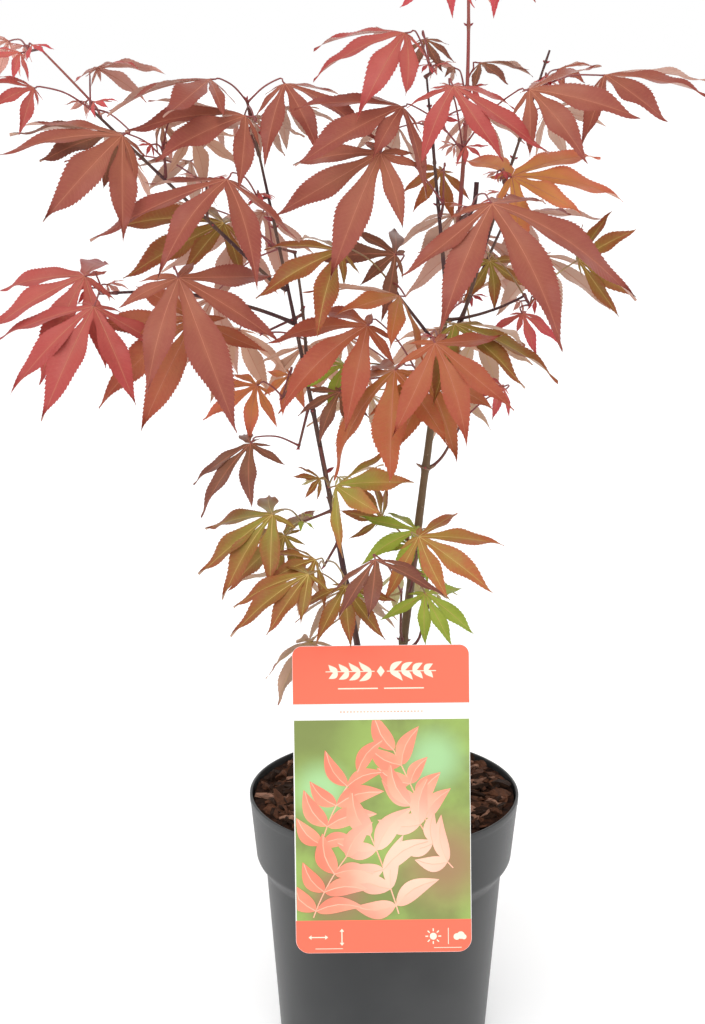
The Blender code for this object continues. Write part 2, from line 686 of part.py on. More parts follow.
def leaf_shape(length, rng):
    """Return the vertices and faces of a leaf of seven lobes, lens-shaped in section.

    The middle lobe lies along +X and the upper face looks along +Z. The heel is an open
    three-sided mouth for the stalk, whose vertices, left, right and low, come first.
    """
    hub = length * LEAF_HUB_THICKNESS / 2
    rib = length * LEAF_THICKNESS / 2
    heel = -length * HEEL_REACH
    vertices = [
        Vector((heel, STALK_RADIUS, 0)),
        Vector((heel, -STALK_RADIUS, 0)),
        Vector((heel, 0, -STALK_RADIUS)),
        Vector((0, 0, hub)),
        Vector((0, 0, -hub)),
    ]
    left_heel, right_heel, low_heel, top_hub, low_hub = range(5)
    faces = [
        (top_hub, left_heel, right_heel),
        (low_hub, right_heel, low_heel),
        (low_hub, low_heel, left_heel),
    ]

    def add(along, across, angle, rise=0):
        vertices.append(lobe_point(along, across, angle, lobe_drop(along, length, angle) - rise))
        return len(vertices) - 1

    def add_pair(first, second, top, low):
        faces.append((first, second, top))
        faces.append((second, first, low))

    lobes = leaf_lobes(length, rng)
    turns = [-BASAL_ANGLE] + [turn for turn, reach in lobes] + [BASAL_ANGLE]
    sinuses = []
    for one, other in zip(turns, turns[1:]):
        turn = (one + other) / 2
        sinuses.append(add(length * SINUS_REACH * (1 - abs(turn) / SINUS_FADE), 0, turn))
    right_basal = add(length * BASAL_REACH, 0, -BASAL_ANGLE)
    left_basal = add(length * BASAL_REACH, 0, BASAL_ANGLE)
    add_pair(right_heel, right_basal, top_hub, low_hub)
    add_pair(right_basal, sinuses[0], top_hub, low_hub)
    add_pair(sinuses[-1], left_basal, top_hub, low_hub)
    add_pair(left_basal, left_heel, top_hub, low_hub)
    for (turn, reach), sinus_before, sinus_after in zip(lobes, sinuses, sinuses[1:]):
        widest = reach * LOBE_WIDEST
        half = reach * LOBE_HALF_WIDTH
        right = add(widest, -half, turn)
        tip = add(reach, 0, turn)
        left = add(widest, half, turn)
        top = add(widest, 0, turn, rib)
        low = add(widest, 0, turn, -rib)
        outline = (sinus_before, right, tip, left, sinus_after)
        for before, after in zip(outline, outline[1:]):
            add_pair(before, after, top, low)
        faces.append((top_hub, sinus_before, top))
        faces.append((sinus_after, top_hub, top))
        faces.append((sinus_before, low_hub, low))
        faces.append((low_hub, sinus_after, low))
    return vertices, faces


def add_stalk(vertices, faces, heel, foot):
    """Sweep the heel's mouth back along the stalk to its foot, and close it there.

    The first three vertices are the mouth. The stalk leaves it straight, loops over or under
    the blade where its foot lies ahead, then bows over.
    """
    mouth = vertices[:3]
    back = (mouth[0] - mouth[1]).cross(mouth[2] - (mouth[0] + mouth[1]) / 2).normalized()
    over = ((mouth[0] + mouth[1]) / 2 - mouth[2]).normalized()
    points = [heel, heel + back * STALK_NECK]
    if (foot - heel).angle(back) > math.radians(STALK_LOOP_ANGLE):
        side = 1 if (foot - heel).dot(over) > 0 else -1
        points.append(points[-1] + over * side * STALK_LOOP)
    middle = points[-1].lerp(foot, 0.5)
    middle.z += (foot - heel).length * STALK_BOW
    points += [middle, foot]
    ring = [vertex - heel for vertex in mouth]
    before = (0, 1, 2)
    travel = back
    for index in range(1, len(points)):
        onward = points[min(index + 1, len(points) - 1)] - points[index - 1]
        turned = travel.rotation_difference(onward)
        travel = onward
        for vertex in ring:
            vertex.rotate(turned)
        vertices.extend(points[index] + vertex for vertex in ring)
        after = tuple(range(len(vertices) - 3, len(vertices)))
        for one, other in ((1, 0), (0, 2), (2, 1)):
            faces.append((before[one], before[other], after[other], after[one]))
        before = after
    faces.append((before[1], before[0], before[2]))


def leaf_frame(leaf, hub):
    """Return the matrix that turns a leaf to its facing, with its upper face to the light."""
    curl_angle = math.degrees(math.atan(CURL))
    along = direction(leaf.facing, curl_angle - leaf.droop)
    front = -1 if math.sin(math.radians(leaf.facing)) < 0 else 1
    tilt = math.radians(leaf.tilt)
    light = Vector((0, front * math.sin(tilt), math.cos(tilt)))
    normal = (light - along * light.dot(along)).normalized()
    frame = Matrix((along, normal.cross(along), normal)).transposed().to_4x4()
    return Matrix.Translation(hub) @ frame


def mesh_object_at(name, vertices, faces, origin, collection):
    """Return a mesh object whose origin is this point, from vertices in millimetres."""
    mesh = bpy.data.meshes.new(name)
    mesh.from_pydata([(vertex - origin) * MM for vertex in vertices], [], faces)
    mesh_object = bpy.data.objects.new(name, mesh)
    mesh_object.location = origin * MM
    collection.objects.link(mesh_object)
    return mesh_object


def surface_of(scene_object):
    """Return a search tree of an object's surface in world space."""
    depsgraph = bpy.context.evaluated_depsgraph_get()
    evaluated = scene_object.evaluated_get(depsgraph)
    mesh = evaluated.to_mesh()
    vertices = [scene_object.matrix_world @ vertex.co for vertex in mesh.vertices]
    tree = BVHTree.FromPolygons(vertices, [tuple(face.vertices) for face in mesh.polygons])
    evaluated.to_mesh_clear()
    return tree


def touches(scene_object, placed):
    """Tell whether an object's surface crosses one that is already placed."""
    bpy.context.view_layer.update()
    tree = surface_of(scene_object)
    return any(tree.overlap(other) for other in placed)


def fuse(base, others, solver):
    """Join other mesh objects into the base with one union, and keep its largest piece."""
    pieces = bpy.data.collections.new(f"{base.name}_pieces")
    for other in others:
        for owner in list(other.users_collection):
            owner.objects.unlink(other)
        pieces.objects.link(other)
    bpy.context.scene.collection.children.link(pieces)
    union = base.modifiers.new("union", "BOOLEAN")
    union.operation = "UNION"
    union.operand_type = "COLLECTION"
    union.collection = pieces
    union.solver = solver
    union.use_self = True
    bpy.context.view_layer.update()
    depsgraph = bpy.context.evaluated_depsgraph_get()
    joined = bpy.data.meshes.new_from_object(base.evaluated_get(depsgraph))
    base.modifiers.clear()
    base.data = joined
    keep_largest_piece(joined)
    for other in others:
        bpy.data.objects.remove(other, do_unlink=True)
    bpy.data.collections.remove(pieces)


def keep_largest_piece(mesh):
    """Drop loose scraps and sealed hollows, so that one closed body is left."""
    shape = bmesh.new()
    shape.from_mesh(mesh)
    bmesh.ops.triangulate(shape, faces=shape.faces)
    unseen = set(shape.verts)
    pieces = []
    while unseen:
        piece = {unseen.pop()}
        edge = list(piece)
        while edge:
            near = {link.other_vert(vertex) for vertex in edge for link in vertex.link_edges}
            edge = list(near & unseen)
            unseen.difference_update(edge)
            piece.update(edge)
        pieces.append(piece)
    pieces.sort(key=len)
    for piece in pieces[:-1]:
        bmesh.ops.delete(shape, geom=list(piece), context="VERTS")
    shape.to_mesh(mesh)
    shape.free()


def leaf_node(route, index, length):
    """Return where the stalk of this leaf leaves its twig: pairs, one below the other."""
    step = min(LEAF_NODE_STEP, length * LEAF_NODE_SHARE)
    back = LEAF_NODE_DEPTH + (index // 2) * step + (index % 2) * PAIR_OFFSET
    return on_route(route, 1 - back / length)[0]


def leaf_with_stalk(shoot, index, route):
    """Return the vertices and faces of one of a shoot's leaves, with its stalk, and its foot."""
    leaf = shoot.leaves[index]
    foot = leaf_node(route, index, shoot.length)
    hub = foot + direction(leaf.heading, leaf.rise) * leaf.stalk
    frame = leaf_frame(leaf, hub)
    vertices, faces = leaf_shape(leaf.length, random.Random(f"{SEED}{shoot.name}{index}"))
    vertices = [frame @ vertex for vertex in vertices]
    heel = frame @ Vector((-leaf.length * HEEL_REACH, 0, 0))
    add_stalk(vertices, faces, heel, foot)
    return vertices, faces, foot


def build_leaf(shoot, index, route, parts, placed):
    """Build a leaf and its stalk, or return nothing where it would touch another piece."""
    vertices, faces, foot = leaf_with_stalk(shoot, index, route)
    leaf = mesh_object_at(f"{shoot.name}_leaf_{index}", vertices, faces, foot, parts)
    if touches(leaf, placed):
        bpy.data.objects.remove(leaf, do_unlink=True)
        return []
    return [leaf]


def shoot_route(shoot, routes):
    """Return the route of a shoot's twig."""
    limb = next(limb for limb in LIMBS if limb.name == shoot.limb)
    root, first = branch_root(
        limb, routes[shoot.limb], shoot.at, shoot.radius, shoot.heading, shoot.rise
    )
    return grow_route(root, first, shoot.heading, shoot.rise, shoot.length, 0, 0)


def build_shoot(shoot, routes, materials, parts, placed):
    """Build one mass of foliage: its twig, with the leaf stalks and leaves fused on."""
    route = shoot_route(shoot, routes)
    stations = crook_stations(shoot.length)
    points = [on_route(route, along)[0] for along in stations]
    radii = [shoot.radius * (1 + (TWIG_TAPER - 1) * along) for along in stations]
    twig = tube_object(shoot.name, points, radii, 0, parts)
    twig = to_mesh_object(twig, shoot.name, parts)
    pieces = []
    for index in range(len(shoot.leaves)):
        pieces += build_leaf(shoot, index, route, parts, placed)
    fuse(twig, pieces, "EXACT")
    twig.data.materials.clear()
    twig.data.materials.append(materials[shoot.tint])
    placed.append(surface_of(twig))


def main():
    """Build the potted plant."""
    clear_scene()
    materials = build_materials()
    parts = new_collection("potted_japanese_maple")
    cutters = new_collection("cutters")
    build_pot(materials, parts, cutters)
    build_soil(materials, parts)
    build_tag(materials, parts)
    routes = limb_routes()
    build_limbs(routes, materials, parts)
    bpy.context.view_layer.update()
    placed = [surface_of(piece) for piece in parts.objects]
    for shoot in SHOOTS:
        build_shoot(shoot, routes, materials, parts, placed)


if __name__ == "__main__":
    main()
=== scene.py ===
"""Visual model of a young japanese maple in a nursery pot, with a picture tag on the rim.

The file is laid out as an add-on with one operator for each group of pieces, and is run as a
script. Lengths in the rows and constants are in millimetres and angles in degrees. A heading is
measured in plan from +X towards +Y, a rise up from the horizontal, and a droop down from it.
"""

import json
import math
import random
from collections import namedtuple

import bmesh
import bpy
from bpy.props import FloatProperty, FloatVectorProperty, IntProperty, PointerProperty
from mathutils import Matrix, Vector, noise

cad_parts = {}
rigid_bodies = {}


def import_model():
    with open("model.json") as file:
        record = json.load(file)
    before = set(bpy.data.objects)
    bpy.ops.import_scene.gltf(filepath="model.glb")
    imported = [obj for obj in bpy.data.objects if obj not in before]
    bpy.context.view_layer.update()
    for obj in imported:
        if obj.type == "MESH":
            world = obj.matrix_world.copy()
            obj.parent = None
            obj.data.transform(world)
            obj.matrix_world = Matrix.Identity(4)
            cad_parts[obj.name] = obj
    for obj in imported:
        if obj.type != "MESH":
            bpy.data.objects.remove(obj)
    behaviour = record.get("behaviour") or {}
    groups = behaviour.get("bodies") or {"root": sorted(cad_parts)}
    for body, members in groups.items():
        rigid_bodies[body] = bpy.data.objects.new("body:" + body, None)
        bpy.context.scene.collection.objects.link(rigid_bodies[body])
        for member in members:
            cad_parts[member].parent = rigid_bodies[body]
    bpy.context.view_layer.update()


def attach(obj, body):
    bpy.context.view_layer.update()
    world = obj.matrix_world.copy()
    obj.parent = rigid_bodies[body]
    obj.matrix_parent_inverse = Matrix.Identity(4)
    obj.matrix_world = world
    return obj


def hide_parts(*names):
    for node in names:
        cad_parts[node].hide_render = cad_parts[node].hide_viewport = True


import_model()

bl_info = {
    "name": "Potted japanese maple",
    "version": (1, 0, 0),
    "blender": (4, 5, 0),
    "location": "3D View > Sidebar > Maple",
    "description": "Builds the looks of a young japanese maple in a nursery pot",
    "category": "Add Mesh",
}

MM = 0.001
GAP = 0.3
SEED = 19

# The sizes that the solids share with this file
POT_HEIGHT = 195
RIM_RADIUS = 95
BEAD_HEIGHT = 5
BEAD_WIDTH = 2.6
COLLAR_FOOT_RADIUS = 90.5
COLLAR_FOOT = 147
BODY_RADIUS = 84
FOOT_RADIUS = 74
WALL = 1.8
FLOOR = 3
DRAIN_HOLES = 8
DRAIN_RADIUS = 5
DRAIN_RING_RADIUS = 56
SOIL_LEVEL = 183
TAG_WIDTH = 115.5
TAG_HEIGHT = 203
TAG_THICKNESS = 1.0
TAG_TOP_CORNER = 6.5
TAG_FOOT_CORNER = 9
TAG_FOOT_HEIGHT = 127.2
TAG_LEAN = 11.9
TAG_TURN = 0.7
TAG_OFFSET = -1.6
HOOK_WIDTH = 24
HOOK_THICKNESS = 1.2
HOOK_BRIDGE_HEIGHT = 4
HOOK_SETBACK = 1.8

# The rules that the limbs, twigs and leaves grow by, as the solids have them
FORK_ANGLE = 50
CROOK_LENGTH = 12
ROUTE_STEP = 3
ROUTE_STEPS_LEAST = 4
NODE_SPACING = 62
NODE_SWELLING = 0.22
NODE_HALF_LENGTH = 4
FLARE_WIDTH = 1.5
FLARE_LENGTH = 9
TWIG_RADIUS = 1.0
LEAF_NODE_STEP = 6
LEAF_NODE_SHARE = 0.3
LEAF_NODE_DEPTH = 1.2
PAIR_OFFSET = 0.5
LOBE_ANGLES = (0, 43, 84)
LOBE_LENGTHS = (1.0, 0.92, 0.70)
LOBE_JITTER = 0.06
LOBE_WIDEST = 0.52
SINUS_REACH = 0.13
SINUS_FADE = 300
BASAL_ANGLE = 128
BASAL_REACH = 0.24
HEEL_REACH = 0.05
CURL = 0.16
HANG = 0.45
LIGHT_TILT = 45
STALK_NECK = 3
STALK_LOOP = 3.5
STALK_LOOP_ANGLE = 78
STALK_BOW = 0.08

# What is finer here than in the solids. A girth has one factor for the foot and one for the tip.
GIRTHS = {
    "trunk": (0.87, 0.87),
    "left_stem": (1.1, 0.72),
    "upper_stem": (0.85, 0.6),
    "right_bough": (0.75, 0.75),
}
NODE_RING_HEIGHT = 0.16
NODE_RING_LENGTH = 0.7
COLLAR_WIDTH = 0.35
LIMB_COLLAR_LENGTH = 3
TWIG_COLLAR_LENGTH = 2
LIMB_STEP = 1.6
TWIG_STEP = 1.5
STALK_STEP = 1.6
TWIG_SIDES = 10
STALK_SIDES = 8
BUD_SIDES = 7
RIB_SIDES = 4
END_BUD_LENGTH = (2.0, 3.0)
NODE_BUD_LENGTH = (1.8, 3.0)
SCARS = (("trunk", 248),)
LARGE_BUDS = (("left_stem", 0.845, 200), ("left_stem", 0.46, 20))
YOUNG_SHARE = 0.6
YOUNG_TURN = (30, 70)
YOUNG_SPREAD = 20
YOUNG_RISE = (20, 50)
YOUNG_DROOP = (0, 30)
YOUNG_LENGTH = (10, 16)
YOUNG_STALK = (4, 9)
BASAL_CLEARANCE = 34
NOTCH_HALF_ANGLE = 34
LOBE_BEND = 0.13
LOBE_DIP = (-0.04, 0.20)
LOBE_TWIST = 26
WAVE_HEIGHT = 0.035
WAVES = 15
TOOTH_SHAPE = ((0.0, -0.35), (0.45, 0.35), (0.8, 1.0))
TOOTH_LEAN = 1.1
TOOTH_CROWDING = 0.93
TEETH_LEAST = 5
WIDTH_LEAST = 0.08
ROW_SLANT = 0.8
COLUMNS = (-1.0, -0.5, 0.0, 0.5, 1.0)
MIX_HEAP = 8.0
MIX_RINGS = 46
MIX_SIDES = 120
CHIP_SHARES = {"dark": 0.50, "red": 0.36, "pale": 0.14}
SMALL_CHIP = (5, 14)
LARGE_CHIP = (16, 36)
CHIP_LIFT = (0.2, 3.2)
CHIP_PITCH = 13
CHIP_ROLL = 38
STEM_CLEARANCE = 7

# The levels and heights of the prints on the tag
FOOT_BAND_TOP = 21.8
PICTURE_TOP = 154.2
STRIP_TOP = 164.8
FILM_INSET = 0.22
FILM_LIFT = 0.04
SPRIG_LIFT = 0.06
SPRIG_STEP = 0.006
SIGN_LIFT = 0.07
DOT_SPACING = 2.2
DOT_LEVEL = 159.0
RULE_LEVEL = 174.8
ORNAMENT_LEVEL = 186
SIGN_LEVEL = 10.6

Limb = namedtuple("Limb", "name parent at heading rise length turn lift radius tip_radius tint")
Shoot = namedtuple("Shoot", "name limb at heading rise length leaves")
Leaf = namedtuple(
    "Leaf",
    "tint heading rise stalk facing droop length tilt lobes",
    defaults=(LIGHT_TILT, ()),
)
Lobe = namedtuple("Lobe", "turn reach right left bend dip twist phase")
Finish = namedtuple(
    "Finish", "other blend amount scale grain roughness spread bump specular", defaults=(0.5,)
)

LIMBS = (
    Limb("trunk", None, (0, 0), 350, 83.5, 361, 0, 0, 3.7, 2.6, "olive_bark"),
    Limb("left_stem", "trunk", 0.1, 180, 81, 446, -12, -3.5, 2.5, 1.05, "purple_bark"),
    Limb("upper_stem", "trunk", 1.0, 185, 84, 142, 0, 0, 1.8, 1.1, "purple_bark"),
    Limb("leader", "trunk", 0.965, 15, 82.6, 208, -20, 9, 1.7, 1.0, "red_bark"),
    Limb("right_bough", "trunk", 0.925, 350, 74, 194, 10, -2, 1.8, 0.9, "purple_bark"),
    Limb("cut_stub", "leader", 0.3, 0, 80, 26, 0, 8, 1.5, 1.6, "purple_bark"),
    Limb("right_twig", "trunk", 0.965, 335, 10, 52, 20, 20, 1.1, 0.8, "purple_bark"),
    Limb("centre_twig", "trunk", 0.915, 190, 52, 42, 0, 0, 1.2, 0.9, "purple_bark"),
    Limb("left_high_bough", "left_stem", 0.74, 188, 44, 168, -10, 0, 1.3, 0.9, "purple_bark"),
    Limb("left_middle_bough", "left_stem", 0.69, 190, 24, 118, 10, -26, 1.3, 0.9, "purple_bark"),
    Limb("pink_shoot", "left_high_bough", 0.95, 165, 46, 58, 20, 0, 0.8, 0.7, "red_bark"),
    Limb("back_left_bough", "left_stem", 0.6, 93, 40, 115, 8, 0, 1.3, 0.9, "purple_bark"),
    Limb("back_right_bough", "trunk", 0.88, 60, 42, 130, 0, 0, 1.4, 0.9, "purple_bark"),
    Limb("back_low_bough", "trunk", 0.6, 80, 38, 85, 0, 0, 1.3, 0.9, "purple_bark"),
)

SHOOTS = (
    Shoot("foliage_left_top", "left_stem", 1.0, 215, 75, 9, (
        Leaf("red", 225, 25, 34, 211, 11, 74, 5, (-85, 53, -40, 71, 0, 74, 45, 68, 75, 36)),
        Leaf("red", 345, 25, 28, 306, 42, 61, 34, (-80, 25, -45, 56, -5, 55, 40, 71, 85, 43)),
        Leaf("red", 270, -10, 31, 193, 3, 74, 22, (-85, 50, -45, 68, 0, 74, 35, 72, 85, 52)),
        Leaf("brown", 85, -25, 17, 350, 20, 39, -30),
    )),
    Shoot("foliage_left_upper", "left_stem", 0.88, 225, -10, 8, (
        Leaf("red", 255, 15, 65, 239, 40, 88, 42, (-85, 62, -45, 86, -10, 76, 50, 68, 95, 49)),
        Leaf("olive", 150, -30, 33, 199, 26, 76, 45, (-85, 53, -45, 86, 5, 74, 30, 42, 90, 37)),
    )),
    Shoot("foliage_high_tip", "left_high_bough", 1.0, 280, 0, 14, (
        Leaf("rose", 190, 20, 37, 224, 19, 36, 58, (-80, 28, -45, 33, 0, 33, 45, 33, 85, 10)),
        Leaf("rose", 90, 35, 42, 0, 0, 40, 27, (-105, 32, -40, 37, -5, 44, 45, 37, 85, 9)),
        Leaf("red", 305, -20, 45, 229, 31, 76, 61, (-75, 67, -45, 73, 10, 78, 45, 70, 70, 32)),
    )),
    Shoot("foliage_pink_tip", "pink_shoot", 1.0, 260, -5, 22, (
        Leaf("pink", 240, -5, 8, 220, 15, 25),
        Leaf("pink", 120, 10, 38, 160, 20, 29),
    )),
    Shoot("foliage_high_middle", "left_high_bough", 0.62, 150, 75, 17, (
        Leaf("orange", 95, 50, 23, 235, 60, 25, -40),
        Leaf("orange", 55, 20, 30, 15, 35, 40),
        Leaf("brown", 155, 25, 39, 185, 0, 69, 10),
    )),
    Shoot("foliage_middle_tip", "left_middle_bough", 1.0, 160, -5, 11, (
        Leaf("rose", 270, -5, 37, 250, 52, 80, 53, (-75, 68, -30, 73, -5, 80, 40, 64, 85, 56)),
        Leaf("rose", 215, 45, 17, 186, 29, 76, 36, (-105, 58, -35, 70, 0, 76, 45, 70, 85, 53)),
    )),
    Shoot("foliage_middle_inner", "left_middle_bough", 0.62, 260, 15, 11, (
        Leaf("red", 275, 15, 63, 310, 65, 99, 34, (-95, 38, -40, 71, 0, 97, 45, 73, 85, 69)),
        Leaf("coral", 290, -20, 37, 203, 52, 78, 61, (-85, 55, -45, 72, -15, 82, 15, 76, 110, 45)),
    )),
    Shoot("foliage_left_low_twig", "left_stem", 0.575, 200, -75, 27, (
        Leaf("brown", 220, 10, 41, 219, 52, 50, 19, (-115, 34, -35, 49, -10, 57, 30, 45, 90, 25)),
    )),
    Shoot("foliage_left_pale_twig", "left_stem", 0.62, 155, -50, 24, (
        Leaf("amber", 180, 25, 19, 200, 35, 41),
        Leaf("amber", 65, 50, 17, 225, 75, 27),
    )),
    Shoot("foliage_left_base_twig", "left_stem", 0.4, 205, -15, 22, (
        Leaf("olive", 245, 20, 46, 189, 39, 65, 24, (-90, 49, -45, 64, 5, 62, 25, 61, 60, 45)),
        Leaf("olive", 225, -20, 18, 183, 44, 49, 31, (-120, 44, -45, 45, 5, 55, 45, 45, 85, 34)),
    )),
    Shoot("foliage_low_front", "left_stem", 0.35, 250, -20, 27, (
        Leaf("olive", 255, 25, 24, 220, 10, 39),
        Leaf("olive", 260, 10, 55, 200, 28, 62, 23, (-85, 43, -20, 52, 5, 63, 30, 49, 55, 33)),
        Leaf("olive", 285, -5, 48, 273, 54, 46, 45, (-85, 34, -30, 41, 0, 40, 30, 42, 85, 34)),
    )),
    Shoot("foliage_low_centre", "trunk", 0.34, 270, 70, 45, (
        Leaf("brown", 250, 35, 65, 284, 37, 39, 44, (-85, 33, -45, 46, -15, 45, 55, 48, 85, 32)),
        Leaf("olive", 195, -25, 69, 200, 55, 48, -50),
    )),
    Shoot("foliage_low_right", "trunk", 0.44, 295, 75, 37, (
        Leaf("gold", 270, 30, 35, 329, 32, 60, 48, (-85, 42, -35, 43, 0, 58, 40, 56, 85, 42)),
        Leaf("green", 275, 70, 16, 205, 20, 46),
    )),
    Shoot("foliage_low_right_green", "trunk", 0.32, 345, 75, 42, (
        Leaf("green", 260, 25, 31, 311, 58, 44, 39, (-85, 31, -30, 34, 0, 39, 30, 42, 85, 31)),
    )),
    Shoot("foliage_stem_middle", "left_stem", 0.515, 300, -65, 25, (
        Leaf("gold", 285, 10, 21, 322, -10, 58, 38, (-85, 41, -35, 49, -5, 62, 45, 47, 85, 41)),
        Leaf("olive", 225, 30, 9, 215, -5, 19),
    )),
    Shoot("foliage_stem_lower_middle", "trunk", 0.47, 280, 80, 30, (
        Leaf("olive", 130, 20, 29, 209, -40, 33, 53, (-75, 27, -45, 30, -10, 34, 35, 30, 85, 23)),
    )),
    Shoot("foliage_centre_tip", "centre_twig", 1.0, 210, 60, 10, (
        Leaf("brown", 335, 80, 18, 187, 5, 54, 53, (-100, 41, -40, 35, 0, 54, 40, 29, 85, 38)),
        Leaf("orange", 280, -10, 29, 235, 3, 62, 41, (-85, 43, -45, 57, 5, 57, 35, 49, 85, 43)),
        Leaf("olive", 220, 30, 51, 206, 21, 65, 43, (-85, 46, -45, 48, 5, 63, 45, 60, 75, 21)),
    )),
    Shoot("foliage_centre_low", "trunk", 0.82, 240, 40, 24, (
        Leaf("coral", 220, 40, 59, 201, 41, 75, 44, (-85, 52, -50, 70, -5, 76, 40, 64, 90, 26)),
        Leaf("orange", 245, 15, 43, 190, 55, 79, 18, (-85, 55, -60, 68, -5, 78, 45, 73, 85, 55)),
        Leaf("green", 170, 10, 53, 200, 25, 35),
        Leaf("brown", 190, -5, 56, 230, 55, 34),
    )),
    Shoot("foliage_centre_front", "trunk", 0.9, 265, 30, 17, (
        Leaf("coral", 265, 10, 68, 304, 63, 69, 47, (-80, 25, -40, 59, 5, 63, 30, 62, 85, 48)),
        Leaf("olive", 285, 30, 36, 351, 24, 74, 19, (-85, 52, -25, 57, 0, 73, 45, 65, 85, 52)),
        Leaf("orange", 250, -25, 31, 330, 65, 59, 45, (-85, 41, -45, 54, -5, 59, 45, 54, 85, 41)),
    )),
    Shoot("foliage_right_tip", "right_twig", 1.0, 70, -30, 17, (
        Leaf("pink", 215, -40, 8, 297, 61, 33, 31, (-85, 23, -30, 14, 0, 30, 45, 30, 70, 21)),
        Leaf("olive", 15, 40, 44, 328, -20, 41, 58, (-80, 41, -55, 42, 5, 42, 45, 38, 85, 29)),
        Leaf("olive", 125, 30, 46, 305, 75, 34),
    )),
    Shoot("foliage_red_side_twig", "trunk", 0.68, 10, 60, 42, (
        Leaf("pink", 0, 40, 32, 205, 20, 26),
    )),
    Shoot("foliage_upper_right_node", "upper_stem", 0.38, 255, 80, 11, (
        Leaf("red", 225, 30, 67, 230, 69, 86, 47, (-85, 60, -45, 74, -5, 82, 40, 46, 95, 27)),
        Leaf("orange", 90, 35, 33, 205, 60, 32),
    )),
    Shoot("foliage_upper_stem_tip", "upper_stem", 1.0, 15, 35, 5, (
        Leaf("rose", 225, 45, 34, 199, 18, 71, 26, (-85, 50, -45, 66, 5, 67, 45, 65, 75, 47)),
        Leaf("brown", 100, 50, 27, 310, 60, 25),
    )),
    Shoot("foliage_leader_low", "leader", 0.29, 280, 20, 29, (
        Leaf("red", 280, 10, 59, 310, 50, 104, 39, (-80, 64, -55, 79, 0, 100, 45, 101, 100, 57)),
    )),
    Shoot("foliage_leader_node", "leader", 0.545, 260, -15, 15, (
        Leaf("red", 215, 30, 55, 218, 20, 70, 46, (-80, 54, -45, 64, 5, 87, 30, 47, 85, 49)),
        Leaf("red", 315, 35, 66, 342, 8, 69, 38, (-80, 38, -45, 63, -10, 67, 50, 61, 85, 48)),
        Leaf("rose", 260, 35, 68, 297, 55, 63, 35, (-105, 27, -45, 48, 10, 54, 40, 68, 85, 44)),
    )),
    Shoot("foliage_leader_back", "leader", 0.72, 110, -45, 5, (
        Leaf("brown", 45, 50, 24, 339, 9, 35, 11, (-85, 24, -45, 32, 0, 35, 40, 35, 85, 24)),
        Leaf("brown", 105, 35, 26, 165, -20, 22, 10),
    )),
    Shoot("foliage_leader_tip", "leader", 1.0, 260, 30, 15, (
        Leaf("pink", 225, 10, 25, 235, 40, 42),
        Leaf("pink", 350, 15, 22, 310, 40, 36),
        Leaf("pink", 80, 30, 27, 110, 55, 37),
    )),
    Shoot("foliage_right_bough_low", "right_bough", 0.55, 260, 60, 5, (
        Leaf("amber", 295, 5, 11, 8, 8, 76, -43, (-85, 53, -30, 49, 0, 78, 30, 79, 100, 69)),
    )),
    Shoot("foliage_right_bough_high", "right_bough", 0.85, 45, 35, 10, (
        Leaf("red", 0, 10, 39, 333, 8, 71, 21, (-85, 50, -40, 58, -5, 69, 40, 67, 90, 45)),
        Leaf("red", 65, 20, 31, 350, -5, 26, 20),
    )),
    Shoot("foliage_back_left_tip", "back_left_bough", 1.0, 180, 15, 18, (
        Leaf("red", 130, 10, 42, 155, 35, 69),
        Leaf("red", 110, 45, 31, 130, 60, 61),
        Leaf("brown", 175, 25, 71, 150, 15, 48),
        Leaf("red", 155, -35, 66, 150, 65, 68),
    )),
    Shoot("foliage_back_left_middle", "back_left_bough", 0.5, 180, -25, 30, (
        Leaf("orange", 140, 0, 23, 135, 60, 57),
        Leaf("orange", 20, -20, 32, 100, 65, 49),
    )),
    Shoot("foliage_back_high", "left_high_bough", 0.4, 95, 30, 40, (
        Leaf("brown", 115, 25, 33, 135, 25, 47),
        Leaf("red", 150, 15, 64, 150, 25, 47),
    )),
    Shoot("foliage_back_left_top", "left_stem", 0.94, 105, 25, 34, (
        Leaf("red", 130, 15, 42, 145, 10, 46),
        Leaf("brown", 45, 25, 36, 50, 35, 39),
    )),
    Shoot("foliage_back_right_tip", "back_right_bough", 1.0, 90, 40, 17, (
        Leaf("red", 60, -20, 33, 30, 30, 64),
        Leaf("red", 115, -35, 48, 120, 65, 68),
        Leaf("brown", 30, -50, 47, 60, 60, 62),
        Leaf("brown", 165, -10, 37, 130, 50, 50),
    )),
    Shoot("foliage_back_right_middle", "back_right_bough", 0.5, 105, -30, 22, (
        Leaf("olive", 65, -55, 33, 45, 55, 49),
        Leaf("orange", 125, -40, 37, 125, 65, 54),
    )),
    Shoot("foliage_back_upper", "upper_stem", 0.62, 90, 30, 40, (
        Leaf("brown", 125, 0, 38, 135, 20, 45),
        Leaf("red", 45, 15, 39, 50, 40, 43),
    )),
    Shoot("foliage_back_right_high", "right_bough", 0.7, 75, 15, 43, (
        Leaf("brown", 65, 10, 36, 35, 15, 46),
    )),
    Shoot("foliage_back_low_tip", "back_low_bough", 1.0, 125, 15, 17, (
        Leaf("olive", 145, 0, 45, 135, 55, 52),
        Leaf("olive", 15, 15, 22, 55, 65, 43),
        Leaf("orange", 155, 35, 77, 130, 60, 50),
    )),
    Shoot("foliage_back_base_left", "left_stem", 0.28, 90, -25, 34, (
        Leaf("olive", 140, 10, 43, 140, 35, 48),
        Leaf("olive", 90, -15, 44, 80, 60, 54),
    )),
    Shoot("foliage_back_base_right", "trunk", 0.36, 75, 55, 38, (
        Leaf("green", 105, -5, 28, 50, 45, 47),
    )),
)

LIMBS_BY_NAME = {limb.name: limb for limb in LIMBS}

